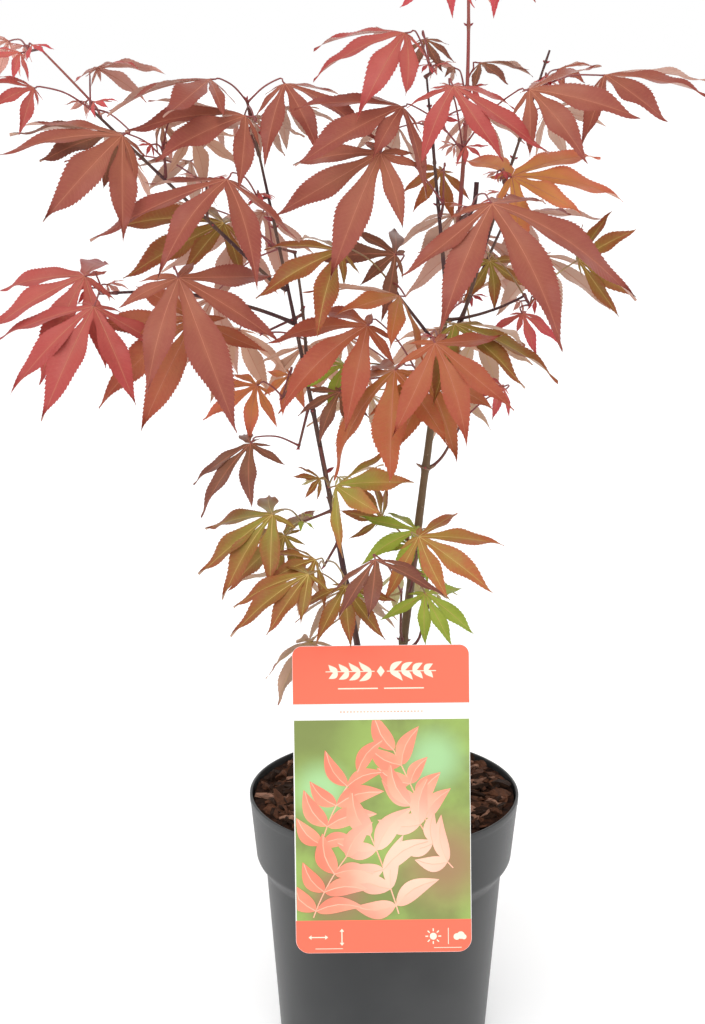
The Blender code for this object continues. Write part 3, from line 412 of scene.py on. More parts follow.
# Each tint's colours on the blade, at the heart and at the margin of a leaf
TINTS = {
    "red": ((0.322, 0.096, 0.063), (0.355, 0.130, 0.068), (0.252, 0.055, 0.043)),
    "rose": ((0.425, 0.088, 0.074), (0.450, 0.125, 0.092), (0.355, 0.050, 0.048)),
    "coral": ((0.355, 0.112, 0.054), (0.420, 0.170, 0.062), (0.340, 0.062, 0.038)),
    "orange": ((0.375, 0.132, 0.045), (0.320, 0.200, 0.040), (0.350, 0.070, 0.030)),
    "amber": ((0.600, 0.205, 0.085), (0.560, 0.290, 0.060), (0.560, 0.120, 0.080)),
    "brown": ((0.235, 0.092, 0.054), (0.270, 0.138, 0.062), (0.170, 0.052, 0.040)),
    "olive": ((0.232, 0.106, 0.028), (0.260, 0.265, 0.040), (0.290, 0.058, 0.028)),
    "gold": ((0.325, 0.200, 0.045), (0.330, 0.390, 0.055), (0.420, 0.095, 0.045)),
    "green": ((0.330, 0.400, 0.050), (0.460, 0.560, 0.090), (0.210, 0.270, 0.030)),
    "pink": ((0.485, 0.100, 0.094), (0.560, 0.140, 0.100), (0.450, 0.040, 0.060)),
}
PALE_TINTS = ("olive", "gold", "green")
SLOTS = {"rose": "red_leaf", "coral": "red_leaf", "amber": "orange_leaf", "gold": "olive_leaf"}
BARKS = ("olive_bark", "purple_bark", "red_bark")
UNDERSIDE = (0.84, 0.60, 0.48)
UNDERSIDE_SHARE = 0.88

# How each surface varies: the colour that its second one leans to and how far, the share and
# scale of that, the scale of its grain, its roughness and how far that varies, the depth of its
# bumps in metres and its shine
FINISHES = {
    "plastic": Finish((0.15, 0.15, 0.15), 0.25, 0.5, 9, 2600, 0.40, 0.22, 0.00006, 0.3),
    "fine mix": Finish(None, 0.5, 0.8, 260, 1400, 0.95, 0.05, 0.0012, 0.1),
    "chip": Finish((0.012, 0.008, 0.007), 0.6, 0.8, 240, 1200, 0.72, 0.2, 0.0006, 0.10),
    "rib": Finish((0.3, 0.04, 0.03), 0.4, 0.6, 90, 900, 0.5, 0.1, 0.0001),
    "stalk": Finish((0.12, 0.02, 0.03), 0.5, 0.7, 40, 900, 0.42, 0.1, 0.0001),
    "bud": Finish((0.08, 0.01, 0.02), 0.6, 0.8, 500, 1500, 0.4, 0.1, 0.0001),
    "plate": Finish((0.7, 0.68, 0.64), 0.5, 0.4, 12, 1800, 0.34, 0.12, 0.00003),
    "print": Finish(None, 1, None, None, 2200, 0.36, 0.12, 0.00002),
    "floor": Finish((0.8, 0.8, 0.8), 0.5, 0.2, 1.5, 400, 0.8, 0.05, 0.00002, 0.2),
}


# Settings


def colour_property(name, description, default):
    """Return a colour setting."""
    return FloatVectorProperty(
        name=name, description=description, default=default, min=0, max=1, subtype="COLOR"
    )


class MAPLE_PG_leaf(bpy.types.PropertyGroup):
    """Sizes and colours of the leaves."""

    half_width: FloatProperty(
        name="Lobe half width", description="Half a lobe's width, as a share of its length",
        default=0.134, min=0.05, max=0.25,
    )
    tooth_depth: FloatProperty(
        name="Tooth depth", description="How far a tooth stands out, as a share of its lobe",
        default=0.0065, min=0, max=0.05,
    )
    tooth_spacing: FloatProperty(
        name="Tooth spacing", description="From one tooth to the next along a lobe",
        default=2.9 * MM, min=MM, max=20 * MM, unit="LENGTH",
    )
    fold: FloatProperty(
        name="Fold", description="How steeply the two halves of a lobe rise from its rib",
        default=0.34, min=0, max=1,
    )
    rib_radius: FloatProperty(
        name="Rib radius", description="Radius of a rib where it leaves the stalk",
        default=0.40 * MM, min=0, max=2 * MM, unit="LENGTH",
    )
    stalk_radius: FloatProperty(
        name="Stalk radius", description="Radius of a leaf stalk at its middle",
        default=0.62 * MM, min=0.1 * MM, max=2 * MM, unit="LENGTH",
    )
    warm_rib: colour_property("Warm rib", "Rib colour of red leaves", (0.500, 0.180, 0.105))
    pale_rib: colour_property("Pale rib", "Rib colour of green leaves", (0.560, 0.390, 0.115))
    warm_stalk: colour_property("Warm stalk", "Colour of red stalks", (0.260, 0.060, 0.055))
    pale_stalk: colour_property("Pale stalk", "Colour of green stalks", (0.330, 0.220, 0.090))


for tint, (blade, _, _) in TINTS.items():
    MAPLE_PG_leaf.__annotations__[tint] = colour_property(
        tint.capitalize(), f"Blade colour of the {tint} leaves", blade
    )


class MAPLE_PG_bark(bpy.types.PropertyGroup):
    """Sizes and colours of the stems and buds."""

    relief: FloatProperty(
        name="Relief", description="Height of the bark's ridges, as a share of the limb's radius",
        default=0.05, min=0, max=0.3,
    )
    olive_bark: colour_property("Olive bark", "Colour of the trunk", (0.130, 0.082, 0.044))
    purple_bark: colour_property("Purple bark", "Colour of the stems", (0.068, 0.030, 0.034))
    red_bark: colour_property("Red bark", "Colour of the young shoots", (0.300, 0.075, 0.070))
    bud: colour_property("Bud", "Colour of the buds", (0.330, 0.035, 0.040))
    scar: colour_property("Scar", "Colour of the scars of old twigs", (0.300, 0.180, 0.130))


class MAPLE_PG_pot(bpy.types.PropertyGroup):
    """Sizes and colours of the pot and the growing mix."""

    segments: IntProperty(
        name="Segments", description="Steps round the pot", default=144, min=24, max=400
    )
    plastic: colour_property("Plastic", "Colour of the pot", (0.032, 0.0335, 0.0345))
    soil: colour_property("Growing mix", "Colour of the fine mix", (0.020, 0.009, 0.006))
    chips: IntProperty(
        name="Bark chips", description="How many chips lie on the mix",
        default=1100, min=0, max=5000,
    )
    dark_chip: colour_property("Dark chip", "Colour of the dark chips", (0.032, 0.014, 0.007))
    red_chip: colour_property("Red chip", "Colour of the red chips", (0.108, 0.043, 0.022))
    pale_chip: colour_property("Pale chip", "Colour of the pale chips", (0.310, 0.160, 0.105))


class MAPLE_PG_tag(bpy.types.PropertyGroup):
    """Colours of the tag."""

    plate: colour_property("Plate", "Colour of the bare plate", (0.86, 0.86, 0.84))
    band: colour_property("Band", "Colour of the two bands", (0.930, 0.145, 0.080))
    ornament: colour_property("Ornament", "Colour of the ornament and signs", (1.0, 0.78, 0.62))
    meadow: colour_property("Meadow", "Main colour behind the sprigs", (0.290, 0.415, 0.095))
    shade: colour_property("Shade", "Second colour behind the sprigs", (0.190, 0.235, 0.060))
    hedge: colour_property("Hedge", "Brown patches behind the sprigs", (0.330, 0.160, 0.090))
    haze: colour_property("Haze", "Pale patches behind the sprigs", (0.360, 0.620, 0.300))
    sprig: colour_property("Sprig", "Colour of the sprigs", (0.900, 0.320, 0.200))


class MAPLE_PG_stage(bpy.types.PropertyGroup):
    """Sizes, colours and lights of the stage."""

    lens: FloatProperty(
        name="Lens", description="Focal length of the camera", default=60.93, min=10, max=300,
        unit="CAMERA",
    )
    camera_place: FloatVectorProperty(
        name="Camera", description="Where the camera stands",
        default=(-0.0223, -1.1396, 0.6950), subtype="TRANSLATION", unit="LENGTH",
    )
    camera_pitch: FloatProperty(
        name="Pitch", description="How far the camera looks down",
        default=math.radians(14.62), subtype="ANGLE", unit="ROTATION",
    )
    floor: colour_property("Floor", "Colour of the floor", (0.93, 0.93, 0.93))
    glow: FloatProperty(
        name="Floor glow", description="Light that the floor gives, to soften its shadows",
        default=0.18, min=0, max=1,
    )
    sky: FloatProperty(
        name="Sky", description="Strength of the even light from all round", default=1.0, min=0
    )
    overhead: FloatProperty(
        name="Overhead", description="Share of that light that comes from overhead",
        default=0.45, min=0, max=1,
    )
    key: FloatProperty(
        name="Key light", description="Strength of the large soft light in front",
        default=1.9, min=0,
    )
    fill: FloatProperty(
        name="Side lights", description="Power of the light on each side", default=4, min=0,
        unit="POWER",
    )


# Meshes


def in_scene(name, data):
    """Return a new object of the scene with this mesh, light or camera."""
    made = bpy.data.objects.new(name, data)
    bpy.context.scene.collection.objects.link(made)
    return made


def solidify(name, shape):
    """Return a bmesh's faces as an object, and free the bmesh."""
    mesh = bpy.data.meshes.new(name)
    shape.to_mesh(mesh)
    shape.free()
    return in_scene(name, mesh)


class Batch:
    """Vertices, faces and pattern places gathered for one joined mesh."""

    def __init__(self):
        self.vertices = []
        self.faces = []
        self.places = {"veins": [], "blade": []}

    def add(self, vertices, faces, veins=None, blade=None):
        """Add a piece. The two lists of pattern places have one pair for each vertex."""
        start = len(self.vertices)
        self.vertices.extend(tuple(vertex * MM) for vertex in vertices)
        self.faces.extend(tuple(start + index for index in face) for face in faces)
        for places, added in zip(self.places.values(), (veins, blade)):
            places.extend(added or [(0, 0)] * len(vertices))

    def build(self, name, material, smooth=True):
        """Return the joined mesh as an object."""
        mesh = bpy.data.meshes.new(name)
        mesh.from_pydata(self.vertices, [], self.faces)
        for label, places in self.places.items():
            layer = mesh.uv_layers.new(name=label)
            corners = [part for loop in mesh.loops for part in places[loop.vertex_index]]
            layer.data.foreach_set("uv", corners)
        mesh.materials.append(material)
        if smooth:
            mesh.shade_smooth()
        return in_scene(name, mesh)


def mount(piece, slot, *nodes):
    """Let a piece ride with the plant and stand for these nodes. Its record slot is not used."""
    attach(piece, "root")
    if nodes:
        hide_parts(*nodes)
    return piece


def ring_faces(rings, sides):
    """Return the faces between rings of vertices that follow each other."""
    faces = []
    for low in range(0, (rings - 1) * sides, sides):
        high = low + sides
        for step in range(sides):
            following = (step + 1) % sides
            faces.append((low + step, low + following, high + following, high + step))
    return faces


def tube(points, radii, sides, relief=None):
    """Return the vertices and faces of a round tube through the points, with pointed caps."""
    vertices = []
    axis = (points[1] - points[0]).normalized()
    side = axis.orthogonal().normalized()
    run = 0.0
    for index, point in enumerate(points):
        ahead = points[min(index + 1, len(points) - 1)] - points[max(index - 1, 0)]
        if index:
            run += (point - points[index - 1]).length
        side.rotate(axis.rotation_difference(ahead))
        axis = ahead.normalized()
        side = (side - axis * side.dot(axis)).normalized()
        up = axis.cross(side)
        for step in range(sides):
            angle = 2 * math.pi * step / sides
            radius = radii[index]
            if relief:
                radius *= 1 + relief(angle, run)
            vertices.append(point + (side * math.cos(angle) + up * math.sin(angle)) * radius)
    faces = ring_faces(len(points), sides)
    foot, tip, top = len(vertices), len(vertices) + 1, len(vertices) - sides
    vertices += [points[0], points[-1]]
    for step in range(sides):
        following = (step + 1) % sides
        faces += [(foot, following, step), (tip, top + step, top + following)]
    return vertices, faces


def smooth_path(points, step):
    """Return points a step apart on a smooth curve through these."""
    path = []
    ends = [points[0] * 2 - points[1]] + points + [points[-1] * 2 - points[-2]]
    for index in range(1, len(ends) - 2):
        before, here, there, after = ends[index - 1 : index + 3]
        straight = there - before
        bend = before * 2 - here * 5 + there * 4 - after
        twist = here * 3 - before - there * 3 + after
        count = max(2, round((there - here).length / step))
        for part in range(count):
            t = part / count
            path.append(0.5 * (here * 2 + straight * t + bend * t * t + twist * t * t * t))
    path.append(points[-1].copy())
    return path


def arc(centre, radius, start, end, steps):
    """Return flat points on an arc about a centre."""
    points = []
    for step in range(steps + 1):
        angle = math.radians(start + (end - start) * step / steps)
        points.append((centre[0] + radius * math.cos(angle), centre[1] + radius * math.sin(angle)))
    return points


# Materials


def feed(tree, socket, value):
    """Link a socket to a value that is a socket, or set it to a number or a colour."""
    if isinstance(value, bpy.types.NodeSocket):
        tree.links.new(value, socket)
    else:
        socket.default_value = value


def math_node(tree, operation, *values):
    """Return the output of a math node whose inputs are sockets or numbers."""
    maths = tree.nodes.new("ShaderNodeMath")
    maths.operation = operation
    for socket, value in zip(maths.inputs, values):
        feed(tree, socket, value)
    return maths.outputs["Value"]


def times(tree, first, second):
    """Return the product of two sockets or numbers."""
    return math_node(tree, "MULTIPLY", first, second)


def mix_colours(tree, factor, first, second):
    """Return the output of a colour mix whose inputs are sockets, numbers or colours."""
    mixer = tree.nodes.new("ShaderNodeMix")
    mixer.data_type = "RGBA"
    for index, value in ((0, factor), (6, first), (7, second)):
        feed(tree, mixer.inputs[index], value)
    return mixer.outputs[2]


def ramp(tree, value, low, high, low_out=0.0, high_out=1.0):
    """Return a smooth step of a value between two limits."""
    ranger = tree.nodes.new("ShaderNodeMapRange")
    ranger.interpolation_type = "SMOOTHSTEP"
    labels = ("Value", "From Min", "From Max", "To Min", "To Max")
    for label, number in zip(labels, (value, low, high, low_out, high_out)):
        feed(tree, ranger.inputs[label], number)
    return ranger.outputs["Result"]


def object_noise(tree, scale, detail, stretch=(1, 1, 1)):
    """Return a noise value in the object's own space, stretched along its axes."""
    place = tree.nodes.new("ShaderNodeTexCoord")
    mapping = tree.nodes.new("ShaderNodeMapping")
    mapping.inputs["Scale"].default_value = stretch
    texture = tree.nodes.new("ShaderNodeTexNoise")
    texture.inputs["Detail"].default_value = detail
    tree.links.new(place.outputs["Object"], mapping.inputs["Vector"])
    tree.links.new(mapping.outputs["Vector"], texture.inputs["Vector"])
    feed(tree, texture.inputs["Scale"], scale)
    return texture.outputs["Fac"]


def mottle_pattern(tree, inner):
    """Vary a colour, a roughness and a height all over a surface."""
    wide = object_noise(tree, inner["Scale"], 4)
    fine = object_noise(tree, inner["Grain Scale"], 2)
    share = times(tree, ramp(tree, wide, 0.35, 0.65), inner["Amount"])
    colour = mix_colours(tree, share, inner["Colour"], inner["Other Colour"])
    spread = math_node(tree, "SUBTRACT", wide, 0.5)
    rough = math_node(tree, "MULTIPLY_ADD", spread, inner["Roughness Spread"], inner["Roughness"])
    return colour, rough, fine


def vein_pattern(tree, inner):
    """Give a leaf blade its side veins, a paler heart and a darker margin and tips."""
    split = []
    for label in ("veins", "blade"):
        uv = tree.nodes.new("ShaderNodeUVMap")
        uv.uv_map = label
        split.append(tree.nodes.new("ShaderNodeSeparateXYZ"))
        tree.links.new(uv.outputs["UV"], split[-1].inputs["Vector"])
    tooth, reach = (node.outputs for node in split)
    across = math_node(tree, "ABSOLUTE", tooth["Y"])
    between = math_node(tree, "SUBTRACT", math_node(tree, "FRACT", tooth["X"]), 0.5)
    line = ramp(tree, math_node(tree, "ABSOLUTE", between), 0.34, 0.49)
    beside_rib = ramp(tree, across, 0.0, 0.22, 1.0, 0.0)
    vein = math_node(tree, "MAXIMUM", times(tree, line, 0.28), beside_rib)
    patches = ramp(tree, object_noise(tree, 55, 5), 0.38, 0.66)
    specks = ramp(tree, object_noise(tree, 420, 3), 0.45, 0.7)
    near_stalk = ramp(tree, reach["X"], 0.05, 0.75, 0.85, 0.0)
    near_rib = ramp(tree, across, 0.05, 0.75, 0.55, 0.0)
    heart = math_node(tree, "MAXIMUM", near_stalk, near_rib)
    edge = times(tree, ramp(tree, across, 0.55, 1.0), 0.55)
    far = times(tree, ramp(tree, reach["X"], 0.45, 1.0), 0.75)
    outward = math_node(tree, "MAXIMUM", edge, far)
    blot = times(tree, times(tree, patches, inner["Mottle"]), 0.35)
    blot = math_node(tree, "MULTIPLY_ADD", reach["Y"], 0.5, blot)
    colour = inner["Blade"]
    for share, other in (
        (heart, "Heart"),
        (outward, "Margin"),
        (blot, "Margin"),
        (times(tree, specks, 0.12), "Heart"),
        (times(tree, vein, inner["Vein Amount"]), "Vein"),
    ):
        colour = mix_colours(tree, share, colour, inner[other])
    rough = math_node(tree, "MULTIPLY_ADD", patches, 0.14, 0.40)
    swell = math_node(tree, "SUBTRACT", times(tree, specks, 0.2), times(tree, vein, 0.5))
    return colour, rough, swell


def bark_pattern(tree, inner):
    """Give bark its long ridges, pale breathing pores and patches."""
    ridges = object_noise(tree, 900, 4, (1, 1, 0.16))
    patches = object_noise(tree, 45, 4)
    pores = ramp(tree, object_noise(tree, 700, 1, (1, 1, 0.45)), 0.66, 0.74)
    colour = inner["Bark"]
    for share, other in (
        (ramp(tree, patches, 0.4, 0.65), "Patch"),
        (times(tree, ramp(tree, ridges, 0.45, 0.75), 0.35), "Patch"),
        (times(tree, pores, 0.7), "Pore"),
    ):
        colour = mix_colours(tree, share, colour, inner[other])
    rough = math_node(tree, "MULTIPLY_ADD", ridges, 0.3, 0.45)
    return colour, rough, math_node(tree, "ADD", ridges, pores)


# Each pattern's rule, and its sockets with what they start from
PATTERNS = {
    "mottle": (
        mottle_pattern,
        {
            "Colour": (0.5, 0.5, 0.5, 1),
            "Other Colour": (0.3, 0.3, 0.3, 1),
            "Amount": 0.5,
            "Scale": 60,
            "Grain Scale": 900,
            "Roughness": 0.5,
            "Roughness Spread": 0.1,
        },
    ),
    "leaf veins": (
        vein_pattern,
        {
            "Blade": (0.4, 0.1, 0.05, 1),
            "Heart": (0.5, 0.2, 0.1, 1),
            "Margin": (0.3, 0.05, 0.04, 1),
            "Vein": (0.5, 0.2, 0.1, 1),
            "Vein Amount": 0.5,
            "Mottle": 0.5,
        },
    ),
    "bark ridges": (
        bark_pattern,
        {
            "Bark": (0.1, 0.07, 0.05, 1),
            "Patch": (0.2, 0.15, 0.1, 1),
            "Pore": (0.4, 0.3, 0.2, 1),
        },
    ),
}


def pattern_group(name):
    """Return a pattern's node group, which gives a colour, a roughness and a height."""
    if name in bpy.data.node_groups:
        return bpy.data.node_groups[name]
    rule, sockets = PATTERNS[name]
    group = bpy.data.node_groups.new(name, "ShaderNodeTree")
    for label, value in sockets.items():
        kind = "NodeSocketColor" if isinstance(value, tuple) else "NodeSocketFloat"
        socket = group.interface.new_socket(label, in_out="INPUT", socket_type=kind)
        socket.default_value = value
    for label in ("Colour", "Roughness", "Height"):
        kind = "NodeSocketColor" if label == "Colour" else "NodeSocketFloat"
        group.interface.new_socket(label, in_out="OUTPUT", socket_type=kind)
    inner = group.nodes.new("NodeGroupInput").outputs
    outer = group.nodes.new("NodeGroupOutput").inputs
    for socket, result in zip(outer, rule(group, inner)):
        group.links.new(result, socket)
    return group


def patterned_material(name, pattern, values, bump_depth, specular, underside=None):
    """Return a material with a pattern, and with another colour on its back where one is given."""
    material = bpy.data.materials.new(name)
    material.use_nodes = True
    tree = material.node_tree
    surface = tree.nodes["Principled BSDF"].inputs
    surface["Specular IOR Level"].default_value = specular
    placed = tree.nodes.new("ShaderNodeGroup")
    placed.node_tree = pattern_group(pattern)
    for label, value in values.items():
        placed.inputs[label].default_value = value
    colour = placed.outputs["Colour"]
    if underside:
        faces = tree.nodes.new("ShaderNodeNewGeometry")
        share = times(tree, faces.outputs["Backfacing"], UNDERSIDE_SHARE)
        colour = mix_colours(tree, share, colour, underside)
    bump = tree.nodes.new("ShaderNodeBump")
    bump.inputs["Distance"].default_value = bump_depth
    for source, socket in (
        (colour, surface["Base Color"]),
        (placed.outputs["Roughness"], surface["Roughness"]),
        (placed.outputs["Height"], bump.inputs["Height"]),
        (bump.outputs["Normal"], surface["Normal"]),
    ):
        tree.links.new(source, socket)
    return material


def opaque(colour):
    """Return a colour as four numbers."""
    return (*colour, 1)


def towards(colour, other, share):
    """Return a colour part of the way to another."""
    return tuple(one + (two - one) * share for one, two in zip(colour, other))


def mottled_material(name, colour, finish):
    """Return a material that varies between two colours, with a fine grain."""
    values = {
        "Colour": opaque(colour),
        "Other Colour": opaque(towards(colour, finish.other, finish.blend)),
        "Amount": finish.amount,
        "Scale": finish.scale,
        "Grain Scale": finish.grain,
        "Roughness": finish.roughness,
        "Roughness Spread": finish.spread,
    }
    return patterned_material(name, "mottle", values, finish.bump, finish.specular)


def blade_material(tint, colour, rib):
    """Return the material of one tint's leaf blades, with a paler underside."""
    _, heart, margin = TINTS[tint]
    values = {
        "Blade": opaque(colour),
        "Heart": opaque(heart),
        "Margin": opaque(margin),
        "Vein": opaque(towards(colour, rib, 0.6)),
        "Vein Amount": 0.34,
        "Mottle": 0.8,
    }
    back = opaque(towards(colour, UNDERSIDE, 0.5))
    return patterned_material(
        f"{tint}_blade", "leaf veins", values, bump_depth=0.00025, specular=0.18, underside=back
    )


def bark_material(name, colour):
    """Return the bark material of one colour."""
    values = {
        "Bark": opaque(colour),
        "Patch": opaque(towards(colour, (0.22, 0.145, 0.085), 0.35)),
        "Pore": opaque(towards(colour, (0.50, 0.38, 0.27), 0.55)),
    }
    return patterned_material(name, "bark ridges", values, bump_depth=0.0002, specular=0.22)


def mount_kinds(batches, part, title, slots, settings, smooth=True):
    """Build and mount one piece for each kind of a part, in the colour that its setting has."""
    for (kind, batch), slot in zip(batches.items(), slots):
        label = f"{kind}_{part}"
        material = mottled_material(label, getattr(settings, label), FINISHES[part])
        mount(batch.build(f"{kind}_{title}", material, smooth), slot)


# Limbs


def direction(heading, rise):
    """Return the unit vector with this heading and rise."""
    heading, rise = math.radians(heading), math.radians(rise)
    level = math.cos(rise)
    return Vector((level * math.cos(heading), level * math.sin(heading), math.sin(rise)))


def tilted_from(axis, wanted):
    """Return the wanted direction, tilted off the axis as far as the fork angle."""
    fork = math.radians(FORK_ANGLE)
    if axis.angle(wanted) >= fork:
        return wanted.copy()
    across = (wanted - axis * wanted.dot(axis)).normalized()
    return axis * math.cos(fork) + across * math.sin(fork)


def grow_route(root, first, heading, rise, length, turn, lift):
    """Return the points of a limb that starts along one direction and turns to its own."""
    points = [root.copy()]
    count = max(ROUTE_STEPS_LEAST, round(length / ROUTE_STEP))
    step = length / count
    for index in range(count):
        along = index / count
        own = direction(heading + turn * along, rise + lift * along)
        settled = min(1, along * length / CROOK_LENGTH)
        points.append(points[-1] + (first * (1 - settled) + own * settled).normalized() * step)
    return points


def on_route(route, along):
    """Return the point at this share of a route, and the route's direction there."""
    place = along * (len(route) - 1)
    index = min(int(place), len(route) - 2)
    step = route[index + 1] - route[index]
    return route[index] + step * (place - index), step.normalized()


def resampled(route, count, depth):
    """Return a route in this many steps, with its foot this deep in what it grows from."""
    points = [on_route(route, step / count)[0] for step in range(count + 1)]
    return [points[0] - (points[1] - points[0]).normalized() * depth] + points


def limb_radius(limb, along, dressed=True):
    """Return a limb's radius: an even taper, swollen at its nodes and flared at the ground.

    Where it isn't dressed it is as the solids have it: without its girth, the rings at its nodes
    and the collar at its foot. A limb that goes on from its parent's tip has no collar.
    """
    radius = limb.radius + (limb.tip_radius - limb.radius) * along
    if dressed:
        girth, tip_girth = GIRTHS.get(limb.name, (1, 1))
        radius *= girth + (tip_girth - girth) * along
    run = along * limb.length
    past_node = run % NODE_SPACING
    to_node = min(past_node, NODE_SPACING - past_node)
    if NODE_SPACING / 2 < run < limb.length - NODE_HALF_LENGTH:
        radius *= 1 + NODE_SWELLING * max(0, 1 - to_node / NODE_HALF_LENGTH)
        if dressed:
            radius += NODE_RING_HEIGHT * math.exp(-((to_node / NODE_RING_LENGTH) ** 2))
    if limb.parent is None:
        radius *= 1 + FLARE_WIDTH * math.exp(-run / FLARE_LENGTH)
    elif dressed and limb.at < 1:
        radius *= 1 + COLLAR_WIDTH * math.exp(-run / LIMB_COLLAR_LENGTH)
    return radius


def branch_root(parent, route, along, radius, heading, rise):
    """Return where a branch starts, a gap clear of its parent, and its first direction."""
    place, axis = on_route(route, along)
    own = direction(heading, rise)
    if along == 1:
        lift = GAP + radius * math.sin(axis.angle(own))
        return place + axis * lift, own
    first = tilted_from(axis, own)
    spread = first.angle(axis)
    clear = limb_radius(parent, along, dressed=False) + GAP + radius * abs(math.cos(spread))
    return place + first * (clear / math.sin(spread)), first


def limb_routes():
    """Return the route of every limb by name."""
    routes = {}
    for limb in LIMBS:
        if limb.parent is None:
            root, first = Vector((*limb.at, SOIL_LEVEL + GAP)), Vector((0, 0, 1))
        else:
            parent = LIMBS_BY_NAME[limb.parent]
            route = routes[limb.parent]
            root, first = branch_root(parent, route, limb.at, limb.radius, limb.heading, limb.rise)
        routes[limb.name] = grow_route(
            root, first, limb.heading, limb.rise, limb.length, limb.turn, limb.lift
        )
    return routes


def name_number(name):
    """Return a number that differs from one name to the next."""
    return sum(map(ord, name))


def bark_relief(amount, phase):
    """Return the rule for the height of the bark's long ridges."""

    def relief(angle, run):
        height = 0
        for weight, width, length in ((1, 1.7, 9), (1.4, 0.8, 26)):
            across, ahead = math.cos(angle) * width, math.sin(angle) * width
            height += weight * noise.noise(Vector((across, ahead, run / length + phase)))
        return amount * height

    return relief


def bud_shape(place, axis, length, radius):
    """Return a pointed bud that stands on this place."""
    shares = ((0.0, 0.55), (0.2, 0.95), (0.45, 1.0), (0.75, 0.6), (1.0, 0.08))
    points = [place + axis * (length * share) for share, width in shares]
    return tube(points, [radius * width for share, width in shares], BUD_SIDES)


def scar_shapes(limb, route, run):
    """Return a raised ring round a limb and the two pegs left by an old pair of twigs."""
    steps, wave_height, thickness = 24, 0.5, 0.55
    place, axis = on_route(route, run / limb.length)
    across = axis.cross(Vector((0, 1, 0))).normalized()
    ahead = axis.cross(across)
    radius = limb_radius(limb, run / limb.length)
    ring = []
    for step in range(steps + 1):
        angle = 2 * math.pi * step / steps
        wave = axis * wave_height * math.sin(2 * angle)
        ring.append(place + (across * math.cos(angle) + ahead * math.sin(angle)) * radius + wave)
    shapes = [tube(ring, [thickness] * len(ring), 8)]
    for way in (-1, 1):
        root = place + across * way * radius * 0.7
        shapes.append(bud_shape(root, (across * way + axis * 0.5).normalized(), 5.2, 1.0))
    return shapes


class MAPLE_OT_limbs(bpy.types.Operator):
    """Sweep the trunk, stems and boughs, with bark ridges and swollen nodes."""

    bl_idname = "maple.limbs"
    bl_label = "Trunk, Stems and Boughs"

    def execute(self, context):
        finish = context.scene.maple_bark
        routes = limb_routes()
        for bark in BARKS:
            batch = Batch()
            limbs = [limb for limb in LIMBS if limb.tint == bark]
            for limb in limbs:
                depth = 0.3 if limb.parent is None else 2.2
                count = max(8, round(limb.length / LIMB_STEP))
                points = resampled(routes[limb.name], count, depth)
                radii = [limb_radius(limb, step / count) for step in range(count + 1)]
                sides = 20 if limb.radius > 2 else 14
                relief = bark_relief(finish.relief, name_number(limb.name) % 97)
                batch.add(*tube(points, radii[:1] + radii, sides, relief))
            piece = batch.build(f"{bark}_limbs", bark_material(bark, getattr(finish, bark)))
            mount(piece, bark, *(limb.name for limb in limbs))
        scars = Batch()
        for name, run in SCARS:
            for shape in scar_shapes(LIMBS_BY_NAME[name], routes[name], run):
                scars.add(*shape)
        mount(scars.build("twig_scars", bark_material("scar_bark", finish.scar)), "olive_bark")
        return {"FINISHED"}


# Foliage


def shoot_route(shoot, routes):
    """Return the route of a shoot's twig."""
    limb = LIMBS_BY_NAME[shoot.limb]
    root, first = branch_root(
        limb, routes[shoot.limb], shoot.at, TWIG_RADIUS, shoot.heading, shoot.rise
    )
    return grow_route(root, first, shoot.heading, shoot.rise, shoot.length, 0, 0)


def leaf_node(route, index, length):
    """Return where the stalk of this leaf leaves its twig: pairs, one below the other."""
    step = min(LEAF_NODE_STEP, length * LEAF_NODE_SHARE)
    back = LEAF_NODE_DEPTH + (index // 2) * step + (index % 2) * PAIR_OFFSET
    return on_route(route, 1 - back / length)[0]


def leaf_frame(leaf, hub):
    """Return the matrix that turns a leaf to its facing, with its upper face to the light."""
    curl_angle = math.degrees(math.atan(CURL))
    along = direction(leaf.facing, curl_angle - leaf.droop)
    front = -1 if math.sin(math.radians(leaf.facing)) < 0 else 1
    tilt = math.radians(leaf.tilt)
    light = Vector((0, front * math.sin(tilt), math.cos(tilt)))
    normal = (light - along * light.dot(along)).normalized()
    placed = Matrix((along, normal.cross(along), normal)).transposed().to_4x4()
    return Matrix.Translation(hub) @ placed


def leaf_lobes(length, rng):
    """Return the turn and reach of a leaf's five long lobes, from right to left."""
    lobes = []
    for angle, share in zip(LOBE_ANGLES, LOBE_LENGTHS):
        for side in (0,) if angle == 0 else (-1, 1):
            turned = angle * side * (1 + rng.uniform(-LOBE_JITTER, LOBE_JITTER))
            reach = length * share * (1 + rng.uniform(-LOBE_JITTER, LOBE_JITTER))
            lobes.append((turned, reach))
    return sorted(lobes)


